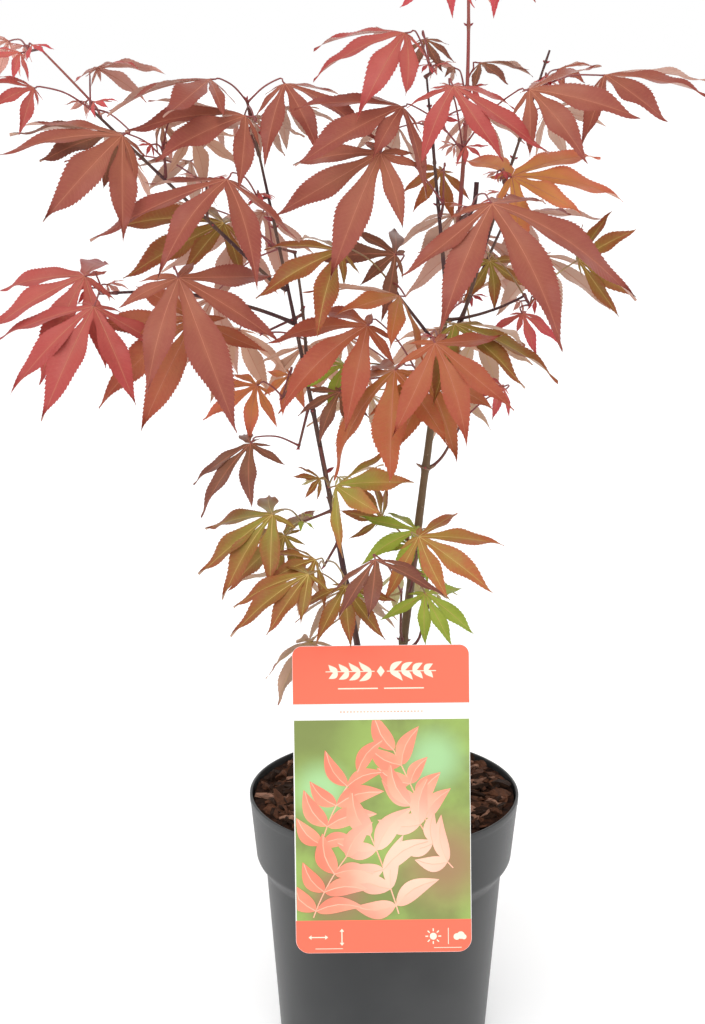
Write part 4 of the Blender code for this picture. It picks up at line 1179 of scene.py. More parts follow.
def whole_leaf(leaf, rng):
    """Return all seven lobes. Each has the half angle and the reach of the notch on each side."""
    length = leaf.length
    by_rule = leaf_lobes(length, rng)
    long_lobes = list(zip(leaf.lobes[::2], leaf.lobes[1::2])) or by_rule
    basal = [max(BASAL_ANGLE, abs(long_lobes[end][0]) + BASAL_CLEARANCE) for end in (0, -1)]
    reach = length * BASAL_REACH
    turned = [(-basal[0], reach)] + long_lobes + [(basal[1], reach)]
    notches = [(180 - basal[0], length * HEEL_REACH)]
    for (one, _), (other, _) in zip(turned, turned[1:]):
        middle = abs(one + other) / 2
        notches.append(((other - one) / 2, length * SINUS_REACH * (1 - middle / SINUS_FADE)))
    notches.append((180 - basal[1], length * HEEL_REACH))
    lobes = []
    for (turn, reach), right, left in zip(turned, notches, notches[1:]):
        bend = rng.uniform(-LOBE_BEND, LOBE_BEND)
        dip = rng.uniform(*LOBE_DIP)
        twist = math.radians(rng.uniform(-LOBE_TWIST, LOBE_TWIST))
        phase = rng.uniform(0, 2 * math.pi)
        lobes.append(Lobe(turn, reach, right, left, bend, dip, twist, phase))
    return lobes


def lobe_width(share, notch_share, notch_width, half_width):
    """Return a lobe's half width at a share of its reach: swelling, then drawn out to the tip."""
    if share < LOBE_WIDEST:
        rise = (share - notch_share) / (LOBE_WIDEST - notch_share)
        return notch_width + (half_width - notch_width) * (1 - math.cos(math.pi * rise)) / 2
    past = (share - LOBE_WIDEST) / (1 - LOBE_WIDEST)
    return half_width * (1 - past) ** 1.5 * (1 + 1.15 * past)


def lobe_rows(lobe, finish):
    """Return rows of (reach, tooth reach, right width, left width, tooth place), hub to tip."""
    sides = []
    for angle, notch in (lobe.right, lobe.left):
        half = math.radians(min(angle, NOTCH_HALF_ANGLE))
        sides.append((math.tan(half), notch * math.cos(half), notch * math.sin(half)))
    teeth = max(TEETH_LEAST, round(lobe.reach / (finish.tooth_spacing / MM)))
    start = max(sides[0][1], sides[1][1]) / lobe.reach
    stations = [(start * step / 4, 0, 0) for step in range(1, 4)]
    for tooth in range(teeth):
        for place, height in TOOTH_SHAPE:
            share = start + (1 - start) * ((tooth + place) / teeth) ** TOOTH_CROWDING
            stations.append((share, height, tooth + place))
    depth = finish.tooth_depth * lobe.reach
    half_width = finish.half_width * lobe.reach
    rows = []
    for share, height, place in stations:
        along = share * lobe.reach
        widths = []
        for slope, notch_along, notch_width in sides:
            if along <= notch_along:
                widths.append(along * slope)
                continue
            width = lobe_width(share, notch_along / lobe.reach, notch_width, half_width)
            fade = min(1, (share - start) * 9, (1 - share) * 7)
            swell = 0.4 + width / lobe.reach / finish.half_width
            widths.append(max(WIDTH_LEAST, width + height * depth * fade * swell))
        forward = max(0, height) * depth * TOOTH_LEAN
        rows.append((along, forward, *widths, place))
    return rows


def bent(lobe, length, along, across, edge, fold):
    """Return where a point of the flat lobe comes to lie on the living leaf."""
    notch = (lobe.right[1] + lobe.left[1]) / 2
    past = max(0.0, min(1.0, (along - notch) / max(lobe.reach - notch, 1)))
    spread = math.atan2(across, max(along, 0.01))
    turn = math.radians(lobe.turn)
    distance = math.hypot(along, across)
    drop = CURL * along * along / length + HANG * (1 - math.cos(turn + spread)) * distance
    lift = fold * abs(across) - drop - lobe.dip * past * past * lobe.reach
    wave = math.sin(along / lobe.reach * WAVES + lobe.phase)
    lift += WAVE_HEIGHT * lobe.reach * past * edge * edge * wave
    lift += across * math.tan(lobe.twist * past)
    sideways = across + lobe.bend * past * past * lobe.reach
    x = along * math.cos(turn) - sideways * math.sin(turn)
    y = along * math.sin(turn) + sideways * math.cos(turn)
    return Vector((x, y, lift))


def rib_radii(lobe, length, radius, count):
    """Return the radii of a lobe's rib, thicker in a large leaf and thin in its small lobes."""
    thick = radius * (0.55 + 0.45 * length / 80)
    thick *= 1 if lobe.reach > 0.5 * length else 0.6
    return [thick * (1 - 0.88 * (step / count) ** 0.8) for step in range(count + 1)]


def add_leaf(leaf, place, rng, finish, blades, ribs):
    """Add a leaf's seven toothed lobes to the blades and their ribs to the ribs."""
    length = leaf.length
    lobes = whole_leaf(leaf, rng)
    tone = rng.random()
    across_count = len(COLUMNS)
    for lobe in lobes:
        rows = lobe_rows(lobe, finish)
        vertices = [place @ bent(lobe, length, 0, 0, 0, finish.fold)]
        veins = [(0, 0)]
        blade = [(0, tone)]
        spine = [vertices[0]]
        for along, forward, right, left, tooth in rows:
            middle = along - ROW_SLANT * (right + left) / 2
            for column in COLUMNS:
                width = left if column > 0 else right
                share = abs(column)
                reach = max(middle + (along + forward - middle) * share, 0)
                spot = bent(lobe, length, reach, width * column, share, finish.fold)
                vertices.append(place @ spot)
                veins.append((tooth, column))
                blade.append((along / lobe.reach * min(1, lobe.reach / length + 0.2), tone))
                if column == 0:
                    spine.append(vertices[-1])
        faces = [(0, 1 + column, 2 + column) for column in range(across_count - 1)]
        for row in range(len(rows) - 1):
            for column in range(across_count - 1):
                low = 1 + row * across_count + column
                high = low + across_count
                faces.append((low, high, high + 1, low + 1))
        blades.add(vertices, faces, veins, blade)
        spine = spine[:2] + spine[2:-1:2] + spine[-1:]
        radii = rib_radii(lobe, length, finish.rib_radius / MM, len(spine) - 1)
        ribs.add(*tube(spine, radii, RIB_SIDES))


def stalk_points(place, hub, foot, length):
    """Return the bends of a leaf stalk, from its foot to the leaf's hub."""
    back = (place.to_3x3() @ Vector((-1, 0, 0))).normalized()
    over = (place.to_3x3() @ Vector((0, 0, 1))).normalized()
    heel = place @ Vector((-length * HEEL_REACH, 0, 0))
    points = [hub - over * 0.3, heel - over * 0.2, heel + back * STALK_NECK]
    if (foot - heel).angle(back) > math.radians(STALK_LOOP_ANGLE):
        side = 1 if (foot - heel).dot(over) > 0 else -1
        points.append(points[-1] + over * side * STALK_LOOP)
    middle = points[-1].lerp(foot, 0.5)
    middle.z += (foot - heel).length * STALK_BOW
    return [foot, middle] + points[::-1]


def stalk_radii(count, radius):
    """Return a stalk's radii: a swollen foot, a slim middle and a knob under the leaf."""
    radii = []
    for step in range(count):
        share = step / (count - 1)
        foot, knob = 0.75 * math.exp(-share * 22), 0.35 * math.exp(-(1 - share) * 30)
        radii.append(radius * (1.05 - 0.25 * share + foot + knob))
    return radii


def leaf_makings(shoot, index, route):
    """Return a leaf with its place, hub, foot and seeded numbers, by the solids' rule."""
    leaf = shoot.leaves[index]
    foot = leaf_node(route, index, shoot.length)
    hub = foot + direction(leaf.heading, leaf.rise) * leaf.stalk
    rng = random.Random(f"{SEED}{shoot.name}{index}")
    return leaf, leaf_frame(leaf, hub), hub, foot, rng


def young_leaves(shoot, route):
    """Return the makings of the two small leaves that unfold beside a mass's end bud."""
    rng = random.Random(f"{SEED}{shoot.name} young")
    if rng.random() > YOUNG_SHARE:
        return []
    tip, axis = on_route(route, 1)
    heading = math.degrees(math.atan2(axis.y, axis.x)) + rng.uniform(*YOUNG_TURN)
    tint = "green" if all(leaf.tint in PALE_TINTS for leaf in shoot.leaves) else "pink"
    makings = []
    for way in (0, 180):
        facing = heading + way + rng.uniform(-YOUNG_SPREAD, YOUNG_SPREAD)
        stalk = rng.uniform(*YOUNG_STALK)
        rise, droop = rng.uniform(*YOUNG_RISE), rng.uniform(*YOUNG_DROOP)
        leaf = Leaf(tint, facing, rise, stalk, facing, droop, rng.uniform(*YOUNG_LENGTH))
        hub = tip + direction(leaf.heading, leaf.rise) * stalk
        makings.append((leaf, leaf_frame(leaf, hub), hub, tip, rng))
    return makings


def foliage_makings(shoot, route):
    """Return the makings of all leaves of a mass."""
    grown = [leaf_makings(shoot, index, route) for index in range(len(shoot.leaves))]
    return grown + young_leaves(shoot, route)


def rib_kind(tint):
    """Return which kind of ribs and stalks the leaves of a tint have."""
    return "pale" if tint in PALE_TINTS else "warm"


def add_twig(shoot, route, relief, twigs):
    """Add a shoot's twig, with a collar at its foot and a ring at its last node."""
    count = max(4, round(shoot.length / TWIG_STEP))
    radii = []
    for step in range(count + 1):
        run = step / count * shoot.length
        past_ring = (shoot.length - run - LEAF_NODE_DEPTH) / 0.9
        ring = 0.3 * math.exp(-(past_ring**2))
        collar = COLLAR_WIDTH * math.exp(-run / TWIG_COLLAR_LENGTH)
        radii.append(TWIG_RADIUS * (1 - 0.2 * step / count) * (1 + collar + ring))
    points = resampled(route, count, 1.6)
    rule = bark_relief(relief, shoot.length)
    twigs.add(*tube(points, radii[:1] + radii, TWIG_SIDES, rule))


def add_node_buds(limb, route, rng, buds):
    """Add a pair of buds at each node of a limb."""
    run = NODE_SPACING
    turn = name_number(limb.name) % 7
    while run < limb.length - NODE_HALF_LENGTH:
        place, axis = on_route(route, run / limb.length)
        side = axis.orthogonal().normalized()
        side.rotate(Matrix.Rotation(turn + run, 3, axis))
        for way in (-1, 1):
            outward = (axis * 0.8 + side * way).normalized()
            root = place + side * way * limb_radius(limb, run / limb.length) * 0.8
            buds.add(*bud_shape(root, outward, rng.uniform(*NODE_BUD_LENGTH), 0.7))
        run += NODE_SPACING


class MAPLE_OT_leaves(bpy.types.Operator):
    """Grow the leaves: toothed blades joined by tint, and their ribs."""

    bl_idname = "maple.leaves"
    bl_label = "Leaves"

    def execute(self, context):
        finish = context.scene.maple_leaf
        routes = limb_routes()
        blades = {tint: Batch() for tint in TINTS}
        ribs = {"warm": Batch(), "pale": Batch()}
        for shoot in SHOOTS:
            for leaf, place, _, _, rng in foliage_makings(shoot, shoot_route(shoot, routes)):
                rib = ribs[rib_kind(leaf.tint)]
                add_leaf(leaf, place, rng, finish, blades[leaf.tint], rib)
        for tint, batch in blades.items():
            rib = getattr(finish, f"{rib_kind(tint)}_rib")
            piece = batch.build(f"{tint}_leaves", blade_material(tint, getattr(finish, tint), rib))
            bearers = [
                shoot.name for shoot in SHOOTS if any(leaf.tint == tint for leaf in shoot.leaves)
            ]
            mount(piece, SLOTS.get(tint, f"{tint}_leaf"), *bearers)
        mount_kinds(ribs, "rib", "leaf_ribs", ("red_leaf", "green_leaf"), finish)
        return {"FINISHED"}


class MAPLE_OT_twigs(bpy.types.Operator):
    """Grow the twigs, leaf stalks and buds of every mass of foliage."""

    bl_idname = "maple.twigs"
    bl_label = "Twigs, Stalks and Buds"

    def execute(self, context):
        finish = context.scene.maple_leaf
        bark = context.scene.maple_bark
        routes = limb_routes()
        twigs, buds = Batch(), Batch()
        stalks = {"warm": Batch(), "pale": Batch()}
        rng = random.Random(SEED)
        for shoot in SHOOTS:
            route = shoot_route(shoot, routes)
            add_twig(shoot, route, bark.relief, twigs)
            tip, axis = on_route(route, 1)
            side = axis.orthogonal().normalized()
            for turn in (-1, 1):
                outward = (axis + side * 0.35 * turn).normalized()
                root = tip + side * 0.35 * turn
                buds.add(*bud_shape(root, outward, rng.uniform(*END_BUD_LENGTH), 0.62))
            for leaf, place, hub, foot, _ in foliage_makings(shoot, route):
                path = smooth_path(stalk_points(place, hub, foot, leaf.length), STALK_STEP)
                radii = stalk_radii(len(path), finish.stalk_radius / MM)
                stalks[rib_kind(leaf.tint)].add(*tube(path, radii, STALK_SIDES))
        for limb in LIMBS:
            add_node_buds(limb, routes[limb.name], rng, buds)
        for name, along, heading in LARGE_BUDS:
            place, axis = on_route(routes[name], along)
            side = direction(heading, 0)
            outward = (side + axis * 0.5).normalized()
            buds.add(*bud_shape(place + side * 0.8, outward, 6.5, 1.5))
        material = bark_material("twig_bark", towards(bark.purple_bark, bark.red_bark, 0.35))
        piece = twigs.build("foliage_twigs", material)
        mount(piece, "purple_bark", *(shoot.name for shoot in SHOOTS))
        mount_kinds(stalks, "stalk", "leaf_stalks", ("red_bark", "olive_bark"), finish)
        material = mottled_material("bud_scales", bark.bud, FINISHES["bud"])
        mount(buds.build("buds", material), "red_bark")
        return {"FINISHED"}


# Pot and growing mix


def apply_modifiers(piece):
    """Apply an object's modifiers to its mesh."""
    bpy.context.view_layer.update()
    depsgraph = bpy.context.evaluated_depsgraph_get()
    made = bpy.data.meshes.new_from_object(piece.evaluated_get(depsgraph))
    piece.modifiers.clear()
    piece.data = made


def turned(name, profile, segments):
    """Turn a profile of (radius, height) points about the Z axis and apply the turn."""
    mesh = bpy.data.meshes.new(name)
    vertices = [(radius * MM, 0, height * MM) for radius, height in profile]
    mesh.from_pydata(vertices, [(index, index + 1) for index in range(len(profile) - 1)], [])
    piece = in_scene(name, mesh)
    screw = piece.modifiers.new("turn", "SCREW")
    screw.steps = segments
    screw.render_steps = segments
    screw.use_merge_vertices = True
    screw.merge_threshold = 0.00001
    screw.use_smooth_shade = True
    apply_modifiers(piece)
    return piece


def pot_profile():
    """Run from the floor's centre up the inside, over the bead, and down the outside."""
    lip, recess = 0.9, 0.9
    inner_rim = RIM_RADIUS - 2.0
    bead_foot = POT_HEIGHT - BEAD_HEIGHT
    inner_foot = FOOT_RADIUS - WALL
    inside = [
        (0, FLOOR),
        (inner_foot - 3, FLOOR),
        (inner_foot, FLOOR + 3),
        (BODY_RADIUS - WALL, COLLAR_FOOT - 8),
        (COLLAR_FOOT_RADIUS - WALL, COLLAR_FOOT + 6),
        (inner_rim, bead_foot - 1),
    ]
    bead = arc((inner_rim + lip, POT_HEIGHT - lip), lip, 180, 90, 4)
    bead += arc((RIM_RADIUS - lip, POT_HEIGHT - lip), lip, 90, 0, 4)
    bead += [
        (RIM_RADIUS - 0.15, bead_foot + 0.6),
        (RIM_RADIUS - 0.35, bead_foot),
        (RIM_RADIUS - 0.6, bead_foot - 1.5),
    ]
    outside = []
    shoulder_steps = 12
    top = (COLLAR_FOOT_RADIUS + 0.25, COLLAR_FOOT + 3.5)
    foot = (BODY_RADIUS - 0.2, COLLAR_FOOT - 10.5)
    for step in range(shoulder_steps + 1):
        share = step / shoulder_steps
        ease = share * share * (3 - 2 * share)
        outside.append((top[0] + (foot[0] - top[0]) * ease, top[1] + (foot[1] - top[1]) * share))
    outside += [(FOOT_RADIUS + 0.3, 6)]
    outside += arc((FOOT_RADIUS - 2.4, 2.6), 2.6, 0, -90, 5)
    outside += [(FOOT_RADIUS - 8, 0), (FOOT_RADIUS - 9, recess), (0, recess)]
    return inside + bead + outside


def drill(piece, radius, ring, count):
    """Cut round holes through the floor of the pot."""
    shape = bmesh.new()
    for index in range(count):
        angle = 2 * math.pi * (index + 0.5) / count
        place = Vector((math.cos(angle), math.sin(angle), 0)) * ring * MM
        bmesh.ops.create_cone(
            shape, cap_ends=True, segments=32, radius1=radius * MM, radius2=radius * MM,
            depth=4 * FLOOR * MM, matrix=Matrix.Translation(place),
        )
    cutter = solidify("drain_cutter", shape)
    holes = piece.modifiers.new("drain_holes", "BOOLEAN")
    holes.operation = "DIFFERENCE"
    holes.object = cutter
    apply_modifiers(piece)
    bpy.data.objects.remove(cutter, do_unlink=True)


class MAPLE_OT_pot(bpy.types.Operator):
    """Turn the pot: a thin tapered shell with a tall collar, a bead and drain holes."""

    bl_idname = "maple.pot"
    bl_label = "Pot"

    def execute(self, context):
        finish = context.scene.maple_pot
        pot = turned("nursery_pot", pot_profile(), finish.segments)
        drill(pot, DRAIN_RADIUS, DRAIN_RING_RADIUS, DRAIN_HOLES)
        pot.data.shade_smooth()
        pot.data.set_sharp_from_angle(angle=math.radians(38))
        material = mottled_material("moulded_plastic", finish.plastic, FINISHES["plastic"])
        pot.data.materials.clear()
        pot.data.materials.append(material)
        mount(pot, "pot_plastic", "pot")
        return {"FINISHED"}


def soil_height(x, y):
    """Return how high the growing mix stands here: nearly to the rim, a little uneven."""
    wave, ripple, length, finer, layer = 1.8, 0.9, 16, 3.1, 3.1
    place = Vector((x / length, y / length, layer))
    level = SOIL_LEVEL + MIX_HEAP
    return level + wave * noise.noise(place) + ripple * noise.noise(place * finer)


def mix_surface(edge):
    """Return the vertices and faces of the growing mix's top, out to its edge."""
    vertices = [Vector((0, 0, soil_height(0, 0)))]
    for ring in range(1, MIX_RINGS + 1):
        radius = edge * ring / MIX_RINGS
        for side in range(MIX_SIDES):
            angle = 2 * math.pi * side / MIX_SIDES
            x, y = radius * math.cos(angle), radius * math.sin(angle)
            vertices.append(Vector((x, y, soil_height(x, y))))
    faces = [(0, 1 + side, 1 + (side + 1) % MIX_SIDES) for side in range(MIX_SIDES)]
    for ring in range(MIX_RINGS - 1):
        low = 1 + ring * MIX_SIDES
        high = low + MIX_SIDES
        for side in range(MIX_SIDES):
            following = (side + 1) % MIX_SIDES
            faces.append((low + side, high + side, high + following, low + following))
    return vertices, faces


def chip_shape(rng, length):
    """Return a splintered chip of bark: a jagged slab, thin and a little bowed."""
    width = length * rng.uniform(0.55, 0.75) * (1 if length < 12 else 12 / length)
    thick = width * rng.uniform(0.22, 0.45)
    bow = rng.uniform(-0.14, 0.14) * length
    corners = ((-1, -1), (1, -1), (1, 1), (-1, 1))
    steps = 6
    vertices = []
    for step in range(steps):
        share = step / (steps - 1)
        middle = (share - 0.5) * length
        swell = math.sqrt(max(0.05, 1 - (2 * share - 1) ** 2 * rng.uniform(0.6, 0.98)))
        bowed = bow * (4 * share * (1 - share) - 0.5)
        for y_way, z_way in corners:
            x = middle + rng.uniform(-0.06, 0.06) * length
            y = y_way * width / 2 * swell * rng.uniform(0.75, 1.15)
            z = bowed + z_way * thick / 2 * swell * rng.uniform(0.7, 1.2)
            vertices.append(Vector((x, y, z)))
    ends = [(3, 2, 1, 0), tuple(range(4 * steps - 4, 4 * steps))]
    return vertices, ends + ring_faces(steps, len(corners))


class MAPLE_OT_growing_mix(bpy.types.Operator):
    """Fill the pot with growing mix and strew bark chips on it."""

    bl_idname = "maple.growing_mix"
    bl_label = "Growing Mix"

    def execute(self, context):
        finish = context.scene.maple_pot
        edge = RIM_RADIUS - BEAD_WIDTH - 0.7
        batch = Batch()
        batch.add(*mix_surface(edge))
        specks = FINISHES["fine mix"]._replace(other=finish.red_chip)
        material = mottled_material("fine_mix", finish.soil, specks)
        mount(batch.build("growing_mix", material), "growing_mix", "soil")
        chips = self.strewn_chips(finish.chips, edge)
        mount_kinds(chips, "chip", "bark_chips", ["growing_mix"] * len(chips), finish, False)
        return {"FINISHED"}

    def strewn_chips(self, count, edge):
        """Return the chips of each kind, strewn over the mix but not round the stems' foot."""
        rng = random.Random(SEED)
        kinds = {kind: Batch() for kind in CHIP_SHARES}
        for index in range(count):
            kind = rng.choices(tuple(CHIP_SHARES), tuple(CHIP_SHARES.values()))[0]
            length = rng.uniform(*(SMALL_CHIP if index % 5 < 3 else LARGE_CHIP))
            radius = (edge - 2 - length * 0.38) * math.sqrt(rng.random())
            angle = rng.uniform(0, 2 * math.pi)
            x, y = radius * math.cos(angle), radius * math.sin(angle)
            if math.hypot(x, y) < STEM_CLEARANCE:
                continue
            turn = Matrix.Rotation(rng.uniform(0, 2 * math.pi), 3, "Z")
            turn @= Matrix.Rotation(math.radians(rng.gauss(0, CHIP_PITCH)), 3, "Y")
            turn @= Matrix.Rotation(math.radians(rng.gauss(0, CHIP_ROLL)), 3, "X")
            place = Vector((x, y, soil_height(x, y) + rng.uniform(*CHIP_LIFT)))
            vertices, faces = chip_shape(rng, length)
            kinds[kind].add([place + turn @ vertex for vertex in vertices], faces)
        return kinds


# Tag


def plate_front():
    """Return how far forward the middle of the plate stands at the height of the rim."""
    return -RIM_RADIUS - GAP - TAG_THICKNESS / 2 / math.cos(math.radians(TAG_LEAN))


def tag_place():
    """Return the matrix of the tag's plate. Its X runs across, its Y up and its Z to the front."""
    lean = math.radians(TAG_LEAN)
    foot_y = plate_front() - (POT_HEIGHT - TAG_FOOT_HEIGHT) * math.tan(lean)
    return (
        Matrix.Translation(Vector((TAG_OFFSET, foot_y, TAG_FOOT_HEIGHT)))
        @ Matrix.Rotation(-lean, 4, "X")
        @ Matrix.Rotation(-math.radians(TAG_TURN), 4, "Y")
        @ Matrix.Rotation(math.radians(90), 4, "X")
    )


def panel(left, right, low, high, low_corner=0, high_corner=0):
    """Return the outline of a panel with plain or rounded corners, counter-clockwise."""
    points = []
    for centre_x, centre_y, corner, start in (
        (right - low_corner, low + low_corner, low_corner, 270),
        (right - high_corner, high - high_corner, high_corner, 0),
        (left + high_corner, high - high_corner, high_corner, 90),
        (left + low_corner, low + low_corner, low_corner, 180),
    ):
        if corner:
            points += arc((centre_x, centre_y), corner, start, start + 90, 10)
        else:
            points.append((centre_x, centre_y))
    return points


def add_film(batch, outline, lift):
    """Add a flat printed shape that lies this high over the front of the plate."""
    place = tag_place()
    height = TAG_THICKNESS / 2 + lift
    vertices = [place @ Vector((x, y, height)) for x, y in outline]
    batch.add(vertices, [tuple(range(len(vertices)))])


def stroke(points, width):
    """Return the outline of a line of even width through the points."""
    left, right = [], []
    for index, (x, y) in enumerate(points):
        ahead = points[min(index + 1, len(points) - 1)]
        behind = points[max(index - 1, 0)]
        run = Vector((ahead[0] - behind[0], ahead[1] - behind[1])).normalized()
        left.append((x - run.y * width / 2, y + run.x * width / 2))
        right.append((x + run.y * width / 2, y - run.x * width / 2))
    return right + left[::-1]


def bowed_path(bends, steps):
    """Return a curve that leaves the first of three points and bows past the second."""
    path = []
    for step in range(steps + 1):
        t = step / steps
        early, halfway, late = (1 - t) ** 2, t * (1 - t), t * t
        path.append(tuple(a * early + 2 * b * halfway + c * late for a, b, c in zip(*bends)))
    return path


def disc(x, y, radius, steps):
    """Return the outline of a disc."""
    return arc((x, y), radius, 0, 360, steps)[:-1]


def oval_leaf(x, y, heading, length, width):
    """Return the outlines of the two halves of a plain pointed oval leaf and that of its rib."""
    turn = math.radians(heading)
    cos, sin = math.cos(turn), math.sin(turn)
    steps = 14

    def bow(share):
        return 0.10 * math.sin(math.pi * share) * length

    def moved(points):
        return [(x + a * cos - b * sin, y + a * sin + b * cos) for a, b in points]

    spine = [(step / steps * length, bow(step / steps)) for step in range(steps + 1)]
    halves = []
    for way in (1, -1):
        edge = []
        for step in range(steps + 1):
            share = step / steps
            swell = max(0, math.sin(math.pi * share**0.8)) ** 0.9 * (1 - 0.25 * share)
            edge.append((share * length, -way * swell * width / 2 + bow(share)))
        halves.append(moved((edge + spine[-2:0:-1])[::way]))
    rib = [(share * length * 0.94, bow(share)) for share in (0, 0.25, 0.5, 0.75, 1)]
    return *halves, moved(stroke(rib, width * 0.045))


def double_arrow(x, y, half, upright):
    """Return the outline of an arrow with a head at each end."""
    head, wide, thin = 1.9, 1.5, 0.35
    neck = half - head
    one_way = [(neck, -thin), (neck, -wide), (half, 0), (neck, wide), (neck, thin)]
    outline = one_way + [(-a, b) for a, b in one_way[::-1]]
    if upright:
        outline = [(-b, a) for a, b in outline]
    return [(x + a, y + b) for a, b in outline]


# Soft patches over a print: their place on the tag, radius, strength and colour
SPRIG_BLURS = (
    (18, 62, 62, 0.55, "ornament"),
    (-34, 130, 50, 0.35, "band"),
    (-44, 54, 36, 0.45, "band"),
)
BLURS = {
    "tag_meadow": (
        (-46, 150, 46, 0.85, "shade"),
        (40, 60, 44, 0.85, "hedge"),
        (-30, 40, 30, 0.85, "hedge"),
        (-40, 108, 26, 0.85, "haze"),
        (34, 128, 28, 0.85, "haze"),
    ),
    "tag_sprigs": SPRIG_BLURS,
    "tag_shaded_sprigs": SPRIG_BLURS,
}

# The sprigs: where the stem starts, bends and ends over the foot of the picture, how long and
# wide its leaves are, and how many pairs it has
SPRIGS = (
    ((30, 62), (20, 88), (8, 112), 27, 12, 4),
    ((-42, 44), (-34, 76), (-16, 98), 30, 12.5, 4),
    ((46, 34), (28, 54), (18, 76), 28, 12, 3),
    ((10, 4), (2, 32), (-8, 56), 34, 14, 4),
    ((-46, 2), (-38, 24), (-24, 42), 31, 13, 3),
)


class MAPLE_OT_tag(bpy.types.Operator):
    """Make the tag: a thin plate with its hook, two bands, a picture of sprigs and plain signs."""

    bl_idname = "maple.tag"
    bl_label = "Tag"

    def execute(self, context):
        finish = context.scene.maple_tag
        self.build_plate(finish)
        inks = self.inks(finish)
        films = {name: Batch() for name in inks}
        side = TAG_WIDTH / 2 - FILM_INSET
        top = TAG_HEIGHT - FILM_INSET
        foot_corner, top_corner = TAG_FOOT_CORNER - 0.3, TAG_TOP_CORNER - 0.3
        for name, outline in (
            ("tag_bands", panel(-side, side, FILM_INSET, FOOT_BAND_TOP, foot_corner, 0)),
            ("tag_bands", panel(-side, side, STRIP_TOP, top, 0, top_corner)),
            ("tag_blank_strip", panel(-side, side, PICTURE_TOP, STRIP_TOP)),
            ("tag_meadow", panel(-side + 0.5, side - 0.2, FOOT_BAND_TOP, PICTURE_TOP)),
        ):
            add_film(films[name], outline, FILM_LIFT)
        self.draw_sprigs(films, side)
        self.draw_signs(films["tag_signs"])
        for dot in range(-12, 13):
            x = dot * DOT_SPACING
            outline = panel(x - 0.7, x + 0.7, DOT_LEVEL, DOT_LEVEL + 1.0, 0.4, 0.4)
            add_film(films["tag_sprig_ribs"], outline, SIGN_LIFT)
        for name, (colour, other, amount, scale) in inks.items():
            ink = FINISHES["print"]._replace(other=other, amount=amount, scale=scale)
            material = mottled_material(name, colour, ink)
            if name in BLURS:
                self.add_blurs(material, BLURS[name], finish)
            mount(films[name].build(name, material, smooth=False), "tag_plastic")
        return {"FINISHED"}

    def inks(self, finish):
        """Return each print's two colours, with the share and scale of the second."""
        band, sprig, plate, ornament = finish.band, finish.sprig, finish.plate, finish.ornament
        shaded = towards(sprig, (0.80, 0.16, 0.10), 0.35)
        return {
            "tag_bands": (band, towards(band, (0.9, 0.15, 0.09), 0.4), 0.35, 10),
            "tag_blank_strip": (plate, towards(plate, (0.8, 0.78, 0.74), 0.4), 0.3, 14),
            "tag_meadow": (finish.meadow, finish.shade, 0.95, 26),
            "tag_sprigs": (sprig, towards(sprig, (0.80, 0.22, 0.14), 0.6), 0.85, 70),
            "tag_shaded_sprigs": (shaded, towards(sprig, (0.55, 0.10, 0.07), 0.45), 0.8, 55),
            "tag_sprig_ribs": (towards(sprig, (1, 0.80, 0.62), 0.35), sprig, 0.5, 60),
            "tag_signs": (ornament, towards(ornament, band, 0.12), 0.4, 60),
        }

    def build_plate(self, finish):
        """Make the plate with rounded corners and edges, and the strap that hooks on the rim."""
        half = TAG_WIDTH / 2
        shape = bmesh.new()
        outline = panel(-half, half, 0, TAG_HEIGHT, TAG_FOOT_CORNER, TAG_TOP_CORNER)
        back = -TAG_THICKNESS / 2 * MM
        plate = shape.faces.new([shape.verts.new((x * MM, y * MM, back)) for x, y in outline])
        raised = bmesh.ops.extrude_face_region(shape, geom=[plate])["geom"]
        corners = [part for part in raised if isinstance(part, bmesh.types.BMVert)]
        bmesh.ops.translate(shape, verts=corners, vec=Vector((0, 0, TAG_THICKNESS * MM)))
        bmesh.ops.recalc_face_normals(shape, faces=shape.faces)
        rim = [edge for edge in shape.edges if any(len(f.verts) > 4 for f in edge.link_faces)]
        bmesh.ops.bevel(
            shape, geom=rim, offset=0.25 * MM, segments=2, affect="EDGES", profile=0.5
        )
        place = tag_place()
        shape.transform(Matrix.Translation(place.translation * MM) @ place.to_3x3().to_4x4())
        self.add_hook(shape)
        piece = solidify("tag_plate", shape)
        piece.data.shade_smooth()
        piece.data.set_sharp_from_angle(angle=math.radians(35))
        material = mottled_material("bare_plate", finish.plate, FINISHES["plate"])
        piece.data.materials.append(material)
        mount(piece, "tag_plastic", "tag")

    def add_hook(self, shape):
        """Add the strap that runs over the rim and down inside it."""
        thick = HOOK_THICKNESS
        bridge = POT_HEIGHT + HOOK_BRIDGE_HEIGHT
        start = plate_front() + HOOK_BRIDGE_HEIGHT * math.tan(math.radians(TAG_LEAN))
        outer = BEAD_WIDTH + HOOK_SETBACK - RIM_RADIUS
        foot = SOIL_LEVEL + GAP
        profile = [(start, bridge), (outer, bridge), (outer, foot), (outer + thick, foot)]
        bend = arc((outer + thick - 1.2, bridge + thick - 1.2), 1.2, 0, 90, 4)
        profile += bend + [(start, bridge + thick)]
        left, right = (
            [shape.verts.new((x * MM, y * MM, z * MM)) for y, z in profile]
            for x in (-HOOK_WIDTH / 2, HOOK_WIDTH / 2)
        )
        made = [shape.faces.new(left[::-1]), shape.faces.new(right)]
        for index in range(len(profile)):
            after = (index + 1) % len(profile)
            made.append(shape.faces.new((left[index], left[after], right[after], right[index])))
        bmesh.ops.recalc_face_normals(shape, faces=made)

